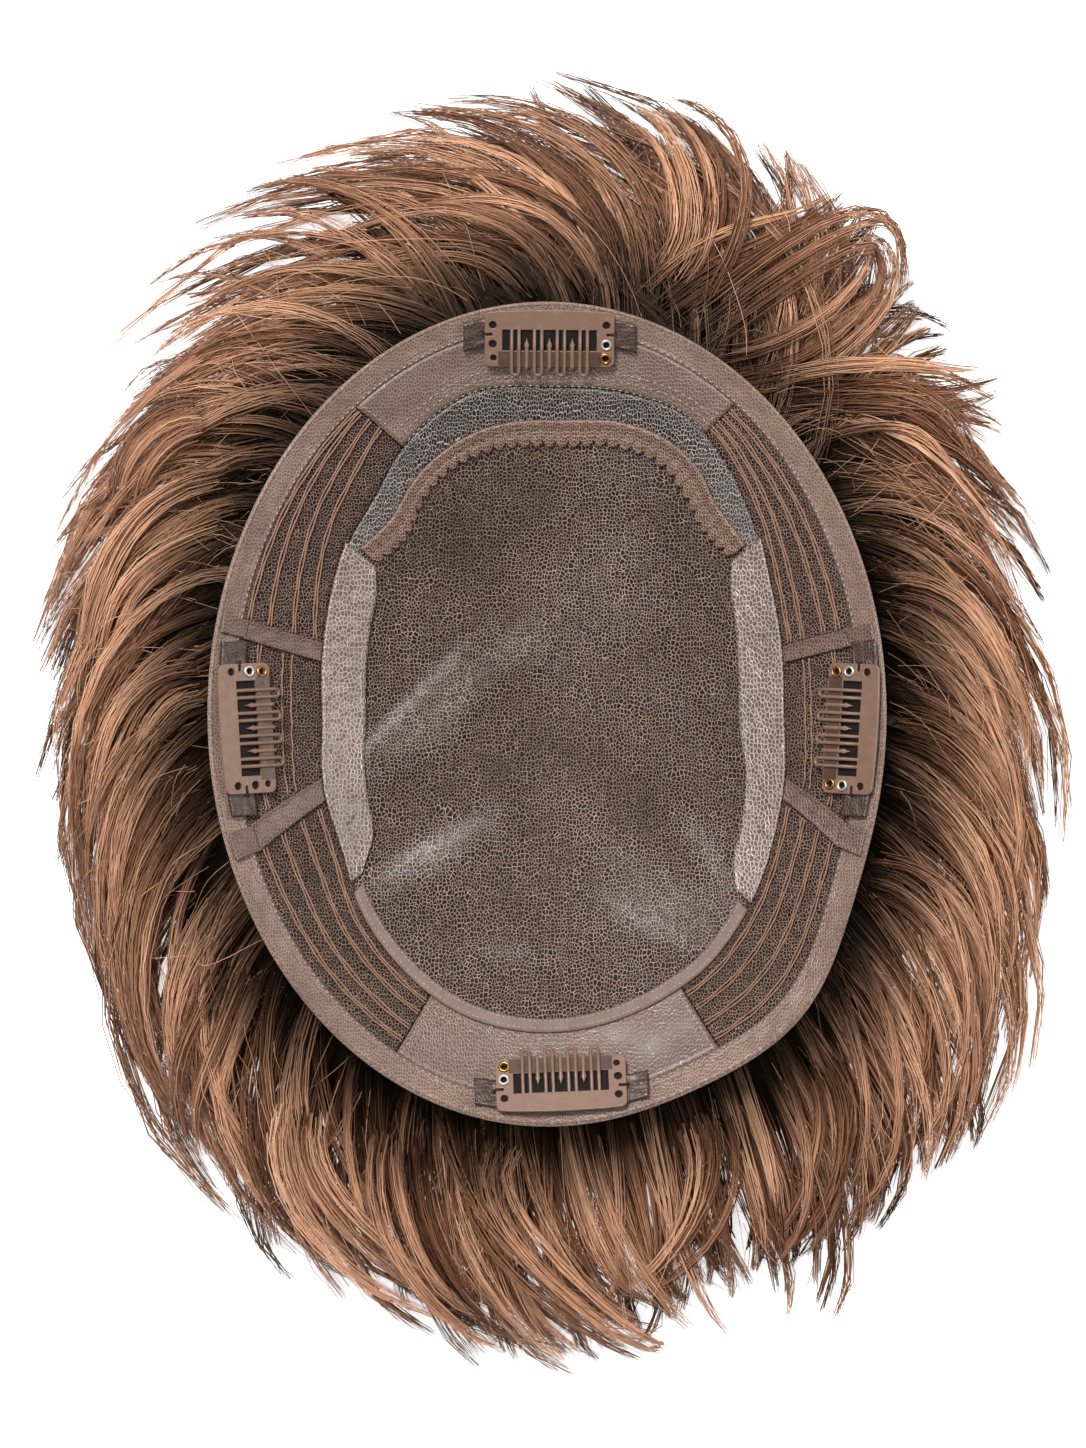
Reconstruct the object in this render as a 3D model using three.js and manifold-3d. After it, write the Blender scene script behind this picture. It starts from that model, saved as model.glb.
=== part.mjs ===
// Toupee hairpiece lying on its hair, with the head side of the base facing up.
// Millimetres, +Z up. +Y is the front of the base and +X is the right as seen from above.
// The origin is on the resting plane, below the middle of the whole piece.
import * as THREE from 'three';
import { mergeVertices } from 'three/addons/utils/BufferGeometryUtils.js';
import Module from 'manifold-3d';

const wasm = await Module();
wasm.setup();

// Base: the outline of the rim from above and the bowl that it closes
const RIM_WIDTH = 166.4;
const RIM_LENGTH = 202.6;
const BOWL_DEPTH = 34;
const BOWL_FLARE = 1.5;
const FRONT_DROP = { height: 13, angle: 90, spread: 55 };
const CROWN_HEIGHT = 17;
const RIM_BULGE = { height: 4.6, angle: -50, spread: 15 };
const FOLD_HEIGHT = 2.4;

// Cloth
const CLOTH = 1;
const EDGE_BAND_WIDTH = 6.3;
const EDGE_BAND_THICKNESS = 1.6;
const SEAM_OVERLAP = 1.2;
const CLEARANCE = 0.3;
const BACK_RIBBON_WIDTH = 3.2;
const SCALLOP_PITCH = 3.1;
const SCALLOP_DEPTH = 1.1;
const RIB_HEIGHT = 0.8;

// Snap comb clips, each one stamped sheet
const CLIP = {
  length: 31.9,
  depth: 13.8,
  sheet: 0.8,
  plate: 4.5,
  bar: 4,
  bow: 0.5,
  corner: 1.6,
  windowLength: 23.2,
  loopPitch: 5.6,
  loopWidth: 2.7,
  loopWire: 0.9,
  loopReach: 2.5,
  tongueWidth: 1,
  notchWidth: 0.7,
  notchLength: 1.9,
};
const LOOPS = 4;
const END_HOLES = [
  { out: 2, across: 3.3, radius: 0.95 },
  { out: 2, across: 8.1, radius: 1 },
  { out: 2.2, across: 11.6, radius: 0.8 },
];
const EYELET = { outer: 1.45, bore: 0.75, thickness: 0.5, gap: 0.2 };
const TAPE_WIDTH = 7;
const TAPE_LENGTH = 43;

// Hair
const HAIR_REACH = 50;
const HAIR_TOP_GAP = 0.8;
const HAIR_TOP_SHARES = [0, 0.22, 0.42, 0.6, 0.8, 0.975];
const RIM_AIR = 1;
const LOCK_TIERS = [
  {
    count: 32, from: 0, to: 360, turn: 1, width: 25, thickness: 11,
    rootHeight: 0.46, tipHeight: 0.06, hump: 0.03, reach: 1.08,
  },
  {
    count: 25, from: 5, to: 365, turn: 1, width: 20, thickness: 8,
    rootHeight: 0.74, tipHeight: 0.24, hump: 0.1, reach: 0.93,
  },
  {
    count: 5, from: 251, to: 291, turn: 0.15, width: 22, thickness: 9,
    rootHeight: 0.62, tipHeight: 0.14, hump: 0.1, reach: 1,
  },
];

// A lock: where it is rooted, how it bends and thins out, and how much one differs from the next
const LOCK = {
  rootShare: 0.9,
  bend: 1.5,
  spring: 1.35,
  fall: 0.9,
  fullAt: 0.25,
  taper: 0.8,
  tipShare: 0.03,
  floorGap: 0.02,
};
const LOCK_SECTION = [[1, -0.1], [0.15, 1], [-1, -0.1], [-0.15, -1]];
const LOCK_SCATTER = {
  place: { salt: 1, amount: 0.35 },
  sweep: { salt: 2, amount: 0.25 },
  reach: { salt: 3, amount: 0.14 },
  size: { salt: 4, amount: 0.25 },
};

// How finely the faceted solids follow their curves
const RIM_STEPS = 48;
const PANEL_STEPS = 45;
const PANEL_RINGS = 5;
const FIELD_STEPS = { tab: 12, corner: 8, side: 6, across: 2 };
const OVERLAY_STEPS = { band: 12, ribbon: 16, strap: 2 };
const SEAT_STEPS = { along: 8, across: 2 };
const HAIR_STEPS = 28;
const CIRCLE_SIDES = 6;
const CORNER_STEPS = 2;
const RIB_STEPS = 4;
const TAPE_STEPS = 6;
const LOCK_STEPS = 5;
const STATIONS_PER_SCALLOP = 2;

// Shares of the rim's radius at each angle, counter-clockwise from +X in degrees
const FRAME_OUTLINE = [
  { angle: 0, share: 0.711 }, { angle: 15, share: 0.722 }, { angle: 30, share: 0.742 },
  { angle: 45, share: 0.79 }, { angle: 59, share: 0.836 }, { angle: 66, share: 0.847 },
  { angle: 74, share: 0.832 }, { angle: 89, share: 0.808 }, { angle: 103, share: 0.824 },
  { angle: 111, share: 0.81 }, { angle: 119, share: 0.788 }, { angle: 129, share: 0.748 },
  { angle: 138, share: 0.737 }, { angle: 153, share: 0.707 }, { angle: 165, share: 0.69 },
  { angle: 182, share: 0.675 }, { angle: 198, share: 0.694 }, { angle: 214, share: 0.702 },
  { angle: 228, share: 0.741 }, { angle: 240, share: 0.762 }, { angle: 254, share: 0.78 },
  { angle: 270, share: 0.782 }, { angle: 288, share: 0.776 }, { angle: 299, share: 0.762 },
  { angle: 311, share: 0.738 }, { angle: 327, share: 0.742 }, { angle: 344, share: 0.731 },
];
const LACE_SEAM = [
  { angle: 32, share: 0.72 }, { angle: 39, share: 0.71 }, { angle: 45, share: 0.687 },
  { angle: 52, share: 0.688 }, { angle: 59, share: 0.715 }, { angle: 66, share: 0.728 },
  { angle: 75, share: 0.717 }, { angle: 88, share: 0.687 }, { angle: 103, share: 0.693 },
  { angle: 113, share: 0.686 }, { angle: 121, share: 0.669 }, { angle: 129, share: 0.64 },
  { angle: 136, share: 0.652 }, { angle: 144, share: 0.7 },
];
const SCALLOPED_RIBBON = [
  { angle: 40, inner: 0.678, outer: 0.713 }, { angle: 45, inner: 0.66, outer: 0.71 },
  { angle: 51, inner: 0.657, outer: 0.712 }, { angle: 58, inner: 0.684, outer: 0.742 },
  { angle: 65, inner: 0.705, outer: 0.752 }, { angle: 75, inner: 0.693, outer: 0.739 },
  { angle: 87, inner: 0.664, outer: 0.712 }, { angle: 102, inner: 0.672, outer: 0.714 },
  { angle: 112, inner: 0.67, outer: 0.705 }, { angle: 120, inner: 0.65, outer: 0.688 },
  { angle: 128, inner: 0.614, outer: 0.661 }, { angle: 133, inner: 0.617, outer: 0.664 },
  { angle: 139, inner: 0.64, outer: 0.682 },
];
const INNER_BAND_LEFT = [
  { angle: 140, inner: 0.628 }, { angle: 146, inner: 0.59 }, { angle: 154, inner: 0.575 },
  { angle: 166, inner: 0.558 }, { angle: 183, inner: 0.549 }, { angle: 203, inner: 0.577 },
  { angle: 215, inner: 0.606 }, { angle: 221, inner: 0.68 },
];
const INNER_BAND_RIGHT = [
  { angle: -43, inner: 0.69 }, { angle: -38, inner: 0.65 }, { angle: -30, inner: 0.643 },
  { angle: -18, inner: 0.62 }, { angle: -3, inner: 0.582 }, { angle: 14, inner: 0.59 },
  { angle: 27, inner: 0.614 }, { angle: 34, inner: 0.634 }, { angle: 39, inner: 0.668 },
];
const BACK_RIBBON_SPAN = { from: 223, to: 315.5 };

// Lines across the field between the oval frame and the edge band: an angle at each end
const TAB_LINES = {
  frontRight: { inner: 60.2, outer: 58.6 },
  frontLeft: { inner: 118.7, outer: 122.2 },
  backLeft: { inner: 247.5, outer: 246 },
  backRight: { inner: 296.1, outer: 297.2 },
};
const STRAPS = [
  { name: 'strap_front_right', inner: 13.7, outer: 13.9, innerWidth: 3.9, outerWidth: 4.4 },
  { name: 'strap_front_left', inner: 165.2, outer: 164.7, innerWidth: 4.4, outerWidth: 4.7 },
  { name: 'strap_back_left', inner: 199, outer: 203.2, innerWidth: 5.4, outerWidth: 7 },
  { name: 'strap_back_right', inner: -17.7, outer: -22.4, innerWidth: 5.1, outerWidth: 6.6 },
];

// Ribs: where each crosses its panel, as shares of the way from the oval to the edge band at both ends
const RIBS = [
  { panel: 'front_left', width: 0.9, start: 0.92, end: 0.7 },
  { panel: 'front_left', width: 0.9, start: 0.71, end: 0.38 },
  { panel: 'front_left', width: 0.9, start: 0.47, end: 0.1 },
  { panel: 'side_left', width: 2.4, start: 0.42, end: 0.4 },
  { panel: 'back_left', width: 0.9, start: 0.9, end: 0.83 },
  { panel: 'back_left', width: 0.9, start: 0.63, end: 0.6 },
  { panel: 'back_left', width: 0.9, start: 0.35, end: 0.33 },
  { panel: 'back_right', width: 0.9, start: 0.36, end: 0.37 },
  { panel: 'back_right', width: 0.9, start: 0.62, end: 0.63 },
  { panel: 'back_right', width: 0.9, start: 0.88, end: 0.88 },
  { panel: 'side_right', width: 1.7, start: 0.33, end: 0.32 },
  { panel: 'front_right', width: 0.9, start: 0.84, end: 0.85 },
  { panel: 'front_right', width: 0.9, start: 0.62, end: 0.6 },
  { panel: 'front_right', width: 0.9, start: 0.3, end: 0.36 },
];

// Soft folds of the centre panel: place and size as shares of the half width, height of FOLD_HEIGHT
const FOLDS = [
  { x: -0.27, y: 0.05, turn: 42, along: 0.42, across: 0.085, height: 1 },
  { x: -0.36, y: -0.45, turn: 32, along: 0.24, across: 0.08, height: 0.8 },
  { x: 0.37, y: -0.56, turn: -35, along: 0.2, across: 0.1, height: 0.75 },
  { x: 0.2, y: 0.1, turn: -62, along: 0.5, across: 0.12, height: 0.45 },
];

// Where the clips are sewn: angle on the rim and depth of the plate's outer edge inside the rim
const CLIPS = [
  {
    name: 'front', angle: 89.6, inset: 1.6,
    eyelets: [{ end: -1, hole: 2, metal: 'steel' }, { end: -1, hole: 3, metal: 'brass' }],
  },
  {
    name: 'left', angle: 183.1, inset: 1.9,
    eyelets: [{ end: -1, hole: 2, metal: 'steel' }, { end: -1, hole: 3, metal: 'brass' }],
  },
  {
    name: 'back', angle: 272.2, inset: 2.6,
    eyelets: [{ end: -1, hole: 3, metal: 'brass' }, { end: -1, hole: 2, metal: 'steel' }],
  },
  {
    name: 'right', angle: -3.1, inset: 0.9,
    eyelets: [
      { end: 1, hole: 3, metal: 'brass' }, { end: 1, hole: 2, metal: 'steel' },
      { end: -1, hole: 3, metal: 'brass' }, { end: -1, hole: 2, metal: 'steel' },
    ],
  },
];

// Hair by the angle of a lock's tip: reach past the rim as a share of HAIR_REACH, and sweep in degrees
const HAIR_FLOW = [
  { tip: 0, reach: 0.78, sweep: -31 }, { tip: 18, reach: 0.77, sweep: -31 },
  { tip: 36, reach: 0.8, sweep: -14 }, { tip: 52, reach: 0.87, sweep: -2 },
  { tip: 66, reach: 0.92, sweep: 8 }, { tip: 82, reach: 0.95, sweep: 18 },
  { tip: 104, reach: 0.84, sweep: 27 }, { tip: 120, reach: 0.98, sweep: 30 },
  { tip: 138, reach: 0.84, sweep: 31 }, { tip: 156, reach: 0.82, sweep: 31 },
  { tip: 180, reach: 0.78, sweep: 30 }, { tip: 200, reach: 0.77, sweep: 28 },
  { tip: 222, reach: 0.83, sweep: 27 }, { tip: 242, reach: 0.86, sweep: 23 },
  { tip: 256, reach: 0.96, sweep: 14 }, { tip: 270, reach: 1, sweep: 0 },
  { tip: 286, reach: 0.98, sweep: -14 }, { tip: 300, reach: 1, sweep: -23 },
  { tip: 318, reach: 0.92, sweep: -28 }, { tip: 340, reach: 0.79, sweep: -31 },
];
// The heap of hair under the base: distance past the rim as a share of HAIR_REACH, height of the rim's height
const HAIR_HEAP = [
  { out: -0.05, height: 0.88 }, { out: 0.06, height: 0.79 }, { out: 0.3, height: 0.6 },
  { out: 0.56, height: 0.34 }, { out: 0.64, height: 0.1 }, { out: 0.56, height: 0 },
];

const TURN = 360;
const rad = THREE.MathUtils.degToRad;
const lerp = THREE.MathUtils.lerp;
const HALF_WIDTH = RIM_WIDTH / 2;
const HALF_LENGTH = RIM_LENGTH / 2;

// A smooth curve through table rows; a closed one repeats every full turn of its key
function tableCurve(rows, key, column, closed) {
  const first = rows[0];
  const last = rows[rows.length - 1];
  const keys = rows.map((row) => row[key]);
  const values = rows.map((row) => row[column]);
  if (closed) {
    keys.unshift(last[key] - TURN);
    values.unshift(last[column]);
    keys.push(first[key] + TURN, rows[1][key] + TURN);
    values.push(first[column], rows[1][column]);
  }
  const slopes = keys.map((_, i) => {
    const before = Math.max(i - 1, 0);
    const after = Math.min(i + 1, keys.length - 1);
    return (values[after] - values[before]) / (keys[after] - keys[before]);
  });
  return (at) => {
    const place = closed ? THREE.MathUtils.euclideanModulo(at - first[key], TURN) + first[key] : at;
    let i = 0;
    while (i < keys.length - 2 && place > keys[i + 1]) {
      i += 1;
    }
    const span = keys[i + 1] - keys[i];
    const t = THREE.MathUtils.clamp((place - keys[i]) / span, 0, 1);
    const rise = t * t * (3 - 2 * t);
    const startPull = t * (1 - t) * (1 - t) * span * slopes[i];
    const endPull = t * t * (t - 1) * span * slopes[i + 1];
    return lerp(values[i], values[i + 1], rise) + startPull + endPull;
  };
}

// A soft rise round one angle of the rim
function swell({ height, angle, spread }, at) {
  const off = THREE.MathUtils.euclideanModulo(at - angle + TURN / 2, TURN) - TURN / 2;
  return height * Math.exp(-((off / spread) ** 2));
}

// Radius of the rim's outline at an angle in degrees
function rimRadius(angle) {
  const a = rad(angle);
  const plain = 1 / Math.hypot(Math.cos(a) / HALF_WIDTH, Math.sin(a) / HALF_LENGTH);
  return plain + swell(RIM_BULGE, angle);
}

function foldHeight(x, y) {
  return FOLDS.reduce((sum, fold) => {
    const turn = rad(fold.turn);
    const dx = x / HALF_WIDTH - fold.x;
    const dy = y / HALF_WIDTH - fold.y;
    const along = (dx * Math.cos(turn) + dy * Math.sin(turn)) / fold.along;
    const across = (dy * Math.cos(turn) - dx * Math.sin(turn)) / fold.across;
    return sum + fold.height * FOLD_HEIGHT * Math.exp(-(along * along + across * across));
  }, 0);
}

const bowlDepth = (angle) => BOWL_DEPTH - swell(FRONT_DROP, angle);
const rimHeight = (angle) => CROWN_HEIGHT + bowlDepth(angle);

// Height of the base's underside over a point of the plan
function bowlHeight(x, y, folded) {
  const angle = THREE.MathUtils.radToDeg(Math.atan2(y, x));
  const place = Math.hypot(x, y) / rimRadius(angle);
  const rise = (Math.hypot(1, BOWL_FLARE * place) - 1) / (Math.hypot(1, BOWL_FLARE) - 1);
  return CROWN_HEIGHT + bowlDepth(angle) * rise + (folded ? foldHeight(x, y) : 0);
}

const SLOPE_STEP = 0.5;

// A point over the plan, lifted along the surface's normal
function onBowl(x, y, lift, folded = true) {
  const run = 2 * SLOPE_STEP;
  const slopeX = (bowlHeight(x + SLOPE_STEP, y, folded) - bowlHeight(x - SLOPE_STEP, y, folded)) / run;
  const slopeY = (bowlHeight(x, y + SLOPE_STEP, folded) - bowlHeight(x, y - SLOPE_STEP, folded)) / run;
  const normal = new THREE.Vector3(-slopeX, -slopeY, 1).normalize();
  return new THREE.Vector3(x, y, bowlHeight(x, y, folded)).addScaledVector(normal, lift);
}

function atShare(angle, share, lift, folded) {
  const radius = rimRadius(angle) * share;
  return onBowl(radius * Math.cos(rad(angle)), radius * Math.sin(rad(angle)), lift, folded);
}

const frameOutline = tableCurve(FRAME_OUTLINE, 'angle', 'share', true);
const laceSeam = tableCurve(LACE_SEAM, 'angle', 'share', false);
const share = (length, angle) => length / rimRadius(angle);
const bandInner = (angle) => 1 - share(EDGE_BAND_WIDTH, angle);
const fieldInner = (angle) => frameOutline(angle) - share(SEAM_OVERLAP, angle);
const panelSeam = (angle) => {
  const turned = THREE.MathUtils.euclideanModulo(angle, TURN);
  const first = LACE_SEAM[0].angle;
  const last = LACE_SEAM[LACE_SEAM.length - 1].angle;
  const besideLace = turned >= first && turned <= last;
  return besideLace ? Math.min(fieldInner(angle), laceSeam(turned)) : fieldInner(angle);
};

// A geometry from vertices and triangles of vertex numbers
function meshGeometry(points, triangles) {
  const geometry = new THREE.BufferGeometry();
  geometry.setAttribute('position', new THREE.Float32BufferAttribute(points.flatMap((p) => p.toArray()), 3));
  geometry.setIndex(triangles);
  return geometry;
}

// A closed wall from rows of { low, high } points, each row running the same way across the cloth
function clothWall(rows, closed) {
  const count = rows[0].low.length;
  const points = rows.flatMap((row) => [...row.low, ...row.high]);
  const low = (i, j) => (i % rows.length) * 2 * count + j;
  const high = (i, j) => low(i, j) + count;
  const triangles = [];
  const quad = (a, b, c, d) => triangles.push(a, b, c, a, c, d);
  const spans = closed ? rows.length : rows.length - 1;
  for (let i = 0; i < spans; i += 1) {
    for (let j = 0; j < count - 1; j += 1) {
      quad(high(i, j), high(i + 1, j), high(i + 1, j + 1), high(i, j + 1));
      quad(low(i, j), low(i, j + 1), low(i + 1, j + 1), low(i + 1, j));
    }
    quad(low(i, 0), low(i + 1, 0), high(i + 1, 0), high(i, 0));
    quad(low(i, count - 1), high(i, count - 1), high(i + 1, count - 1), low(i + 1, count - 1));
  }
  if (!closed) {
    const end = rows.length - 1;
    for (let j = 0; j < count - 1; j += 1) {
      quad(low(0, j), high(0, j), high(0, j + 1), low(0, j + 1));
      quad(low(end, j), low(end, j + 1), high(end, j + 1), high(end, j));
    }
  }
  return outward(meshGeometry(points, triangles));
}

// A closed body from one profile per angle, each from the top of the axis down to its foot
function spunBody(profiles) {
  const count = profiles[0].length;
  const points = profiles.flat();
  const last = profiles.length;
  const at = (i, j) => (i % last) * count + j;
  const triangles = [];
  for (let i = 0; i < last; i += 1) {
    triangles.push(at(0, 0), at(i, 1), at(i + 1, 1));
    for (let j = 1; j < count - 2; j += 1) {
      triangles.push(at(i, j), at(i, j + 1), at(i + 1, j + 1), at(i, j), at(i + 1, j + 1), at(i + 1, j));
    }
    triangles.push(at(i, count - 2), at(0, count - 1), at(i + 1, count - 2));
  }
  return outward(mergeVertices(meshGeometry(points, triangles)));
}

// Six times the signed volume, negative when a body is inside out
function signedVolume(geometry) {
  const position = geometry.getAttribute('position');
  const corner = (n) => new THREE.Vector3().fromBufferAttribute(position, geometry.index.getX(n));
  let sum = 0;
  for (let n = 0; n < geometry.index.count; n += 3) {
    sum += corner(n).dot(corner(n + 1).cross(corner(n + 2)));
  }
  return sum;
}

// The same body with its faces pointing out
function outward(geometry) {
  if (signedVolume(geometry) < 0) {
    const index = geometry.index;
    for (let n = 0; n < index.count; n += 3) {
      const second = index.getX(n + 1);
      index.setX(n + 1, index.getX(n + 2));
      index.setX(n + 2, second);
    }
  }
  return geometry;
}

// The same geometry with shared vertices, without normals and texture coordinates
function bareMerged(geometry) {
  const bare = geometry.clone();
  bare.deleteAttribute('normal');
  bare.deleteAttribute('uv');
  return mergeVertices(bare);
}

function toSolid(geometry) {
  const merged = bareMerged(geometry);
  return new wasm.Manifold(new wasm.Mesh({
    numProp: 3,
    vertProperties: new Float32Array(merged.getAttribute('position').array),
    triVerts: new Uint32Array(merged.index.array),
  }));
}

function toGeometry(solid) {
  const mesh = solid.getMesh();
  const geometry = new THREE.BufferGeometry();
  geometry.setAttribute('position', new THREE.BufferAttribute(mesh.vertProperties, 3));
  geometry.setIndex(new THREE.BufferAttribute(mesh.triVerts, 1));
  return geometry;
}

const steps = (count) => Array.from({ length: count + 1 }, (_, i) => i / count);

const straight = (angle) => ({ inner: angle, outer: angle });

// Cloth between two lines across the field and two edges along it
function fieldPatch({ from, to, inner, outer, low, high, along, across }) {
  const lineAngle = (line, v) => lerp(line.inner, line.outer, v);
  const rows = steps(along).map((u) => {
    const row = { low: [], high: [] };
    steps(across).forEach((v) => {
      const angle = lerp(lineAngle(from, v), lineAngle(to, v), u);
      const place = lerp(inner(angle), outer(angle), v);
      row.low.push(atShare(angle, place, low));
      row.high.push(atShare(angle, place, high));
    });
    return row;
  });
  return clothWall(rows, false);
}

// A line across the field moved sideways by a length
function movedLine(line, innerShift, outerShift = innerShift) {
  const turn = (angle, shift, edge) =>
    angle + THREE.MathUtils.radToDeg(shift / (rimRadius(angle) * edge(angle)));
  return {
    inner: turn(line.inner, innerShift, frameOutline),
    outer: turn(line.outer, outerShift, bandInner),
  };
}

const material = (color, roughness, metalness = 0) =>
  new THREE.MeshStandardMaterial({ color, roughness, metalness });
const MATERIALS = {
  net: material(0x70594f, 0.7),
  lace: material(0x645750, 0.45),
  smooth: material(0x7b655b, 0.5),
  stretch: material(0x5f4a40, 0.8),
  edge: material(0x9a8379, 0.55),
  ribbon: material(0x8d7365, 0.7),
  band: material(0x9c8e88, 0.5),
  strap: material(0x7f685e, 0.6),
  rib: material(0x6e4a3a, 0.7),
  tape: material(0x4a3a33, 0.8),
  clip: material(0xa58370, 0.4, 0.3),
  steel: material(0xd8d8d6, 0.25, 1),
  brass: material(0xb08a4a, 0.3, 1),
  hair: material(0x825c47, 0.5),
};

const toupee = new THREE.Group();

function addPiece(name, geometry, finish, parent = toupee) {
  const mesh = new THREE.Mesh(geometry, MATERIALS[finish]);
  mesh.name = name;
  parent.add(mesh);
  return mesh;
}

// The centre panel and the lace band in front of it
function centrePanel() {
  const profiles = steps(PANEL_STEPS).slice(0, -1).map((turn) => {
    const angle = turn * TURN;
    const edge = panelSeam(angle) - share(CLEARANCE / 2, angle);
    const rings = steps(PANEL_RINGS).map((ring) => ring * edge);
    const top = rings.map((place) => atShare(angle, place, CLOTH));
    const underside = rings.map((place) => atShare(angle, place, 0)).reverse();
    return [...top, ...underside];
  });
  return spunBody(profiles);
}

function frontLace() {
  const from = LACE_SEAM[0].angle;
  const to = LACE_SEAM[LACE_SEAM.length - 1].angle;
  return fieldPatch({
    from: straight(from),
    to: straight(to),
    inner: (angle) => panelSeam(angle) + share(CLEARANCE / 2, angle),
    outer: (angle) => fieldInner(angle) - share(CLEARANCE / 2, angle),
    low: 0,
    high: CLOTH,
    along: Math.round(((to - from) / TURN) * PANEL_STEPS),
    across: FIELD_STEPS.across,
  });
}

addPiece('centre_panel', centrePanel(), 'net');
addPiece('front_lace', frontLace(), 'lace');

// Tabs and stretch panels fill the field between the oval frame and the edge band
const strapLine = (place) => STRAPS.find(({ name }) => name === `strap_${place}`);
const tab = { finish: 'smooth', along: FIELD_STEPS.tab };
const corner = { finish: 'stretch', along: FIELD_STEPS.corner };
const side = { finish: 'stretch', along: FIELD_STEPS.side };
const PANELS = [
  { name: 'front_tab', from: TAB_LINES.frontRight, to: TAB_LINES.frontLeft, ...tab },
  { name: 'stretch_front_left', from: TAB_LINES.frontLeft, to: strapLine('front_left'), ...corner },
  { name: 'stretch_side_left', from: strapLine('front_left'), to: strapLine('back_left'), ...side },
  { name: 'stretch_back_left', from: strapLine('back_left'), to: TAB_LINES.backLeft, ...corner },
  { name: 'back_tab', from: TAB_LINES.backLeft, to: TAB_LINES.backRight, ...tab },
  { name: 'stretch_back_right', from: TAB_LINES.backRight, to: strapLine('back_right'), ...corner },
  { name: 'stretch_side_right', from: strapLine('back_right'), to: strapLine('front_right'), ...side },
  { name: 'stretch_front_right', from: strapLine('front_right'), to: TAB_LINES.frontRight, ...corner },
];

// The same line written so that it follows another one counter-clockwise
function lineAfter(line, before) {
  const turns = Math.ceil((before.inner - line.inner) / TURN);
  return { inner: line.inner + turns * TURN, outer: line.outer + turns * TURN };
}
PANELS.forEach(({ name, from, to, finish, along }) => {
  addPiece(name, fieldPatch({
    from: movedLine(from, CLEARANCE / 2),
    to: movedLine(lineAfter(to, from), -CLEARANCE / 2),
    inner: (angle) => fieldInner(angle) + share(CLEARANCE / 2, angle),
    outer: (angle) => bandInner(angle) - share(CLEARANCE, angle),
    low: 0,
    high: CLOTH,
    along,
    across: FIELD_STEPS.across,
  }), finish);
});

// The edge band has a rolled outer edge
function edgeBand() {
  const roll = EDGE_BAND_THICKNESS / 2;
  const rows = steps(RIM_STEPS).slice(0, -1).map((turn) => {
    const angle = turn * TURN;
    const inner = bandInner(angle) + share(CLEARANCE / 2, angle);
    const shoulder = 1 - share(roll, angle);
    return {
      low: [atShare(angle, inner, 0), atShare(angle, shoulder, 0), atShare(angle, 1, roll - CLEARANCE)],
      high: [
        atShare(angle, inner, CLOTH),
        atShare(angle, shoulder, EDGE_BAND_THICKNESS),
        atShare(angle, 1, roll + CLEARANCE),
      ],
    };
  });
  return clothWall(rows, true);
}
addPiece('edge_band', edgeBand(), 'edge');

// The ribbon's inner edge runs in scallops
function scallopedRibbon() {
  const inner = tableCurve(SCALLOPED_RIBBON, 'angle', 'inner', false);
  const outer = tableCurve(SCALLOPED_RIBBON, 'angle', 'outer', false);
  const from = SCALLOPED_RIBBON[0].angle;
  const to = SCALLOPED_RIBBON[SCALLOPED_RIBBON.length - 1].angle;
  const middle = (from + to) / 2;
  const arc = rad(to - from) * rimRadius(middle) * inner(middle);
  const stations = Math.round(arc / SCALLOP_PITCH) * STATIONS_PER_SCALLOP;
  const rows = steps(stations).map((u, i) => {
    const angle = lerp(from, to, u);
    const notch = i % STATIONS_PER_SCALLOP === 0 ? SCALLOP_DEPTH : 0;
    const edge = inner(angle) + share(notch, angle);
    return {
      low: [edge, outer(angle)].map((place) => atShare(angle, place, CLOTH + CLEARANCE)),
      high: [edge, outer(angle)].map((place) => atShare(angle, place, 2 * CLOTH + CLEARANCE)),
    };
  });
  return clothWall(rows, false);
}
addPiece('scalloped_ribbon', scallopedRibbon(), 'ribbon');

// The strips over the seams beside and behind the centre panel
function overlay({ from, to, inner, outer, along }) {
  return fieldPatch({
    from,
    to,
    inner,
    outer,
    low: CLOTH + CLEARANCE,
    high: CLOTH + CLEARANCE + CLOTH,
    along,
    across: 1,
  });
}
[
  { name: 'inner_band_left', rows: INNER_BAND_LEFT },
  { name: 'inner_band_right', rows: INNER_BAND_RIGHT },
].forEach(({ name, rows }) => {
  addPiece(name, overlay({
    from: straight(rows[0].angle),
    to: straight(rows[rows.length - 1].angle),
    inner: tableCurve(rows, 'angle', 'inner', false),
    outer: frameOutline,
    along: OVERLAY_STEPS.band,
  }), 'band');
});
addPiece('back_ribbon', overlay({
  from: straight(BACK_RIBBON_SPAN.from),
  to: straight(BACK_RIBBON_SPAN.to),
  inner: (angle) => frameOutline(angle) - share(BACK_RIBBON_WIDTH, angle),
  outer: frameOutline,
  along: OVERLAY_STEPS.ribbon,
}), 'ribbon');

const overField = {
  inner: (angle) => frameOutline(angle) + share(CLEARANCE, angle),
  outer: (angle) => bandInner(angle) - share(CLEARANCE, angle),
};
STRAPS.forEach((strap) => {
  addPiece(strap.name, overlay({
    from: movedLine(strap, -strap.innerWidth / 2, -strap.outerWidth / 2),
    to: movedLine(strap, strap.innerWidth / 2, strap.outerWidth / 2),
    ...overField,
    along: OVERLAY_STEPS.strap,
  }), 'strap');
});

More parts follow.
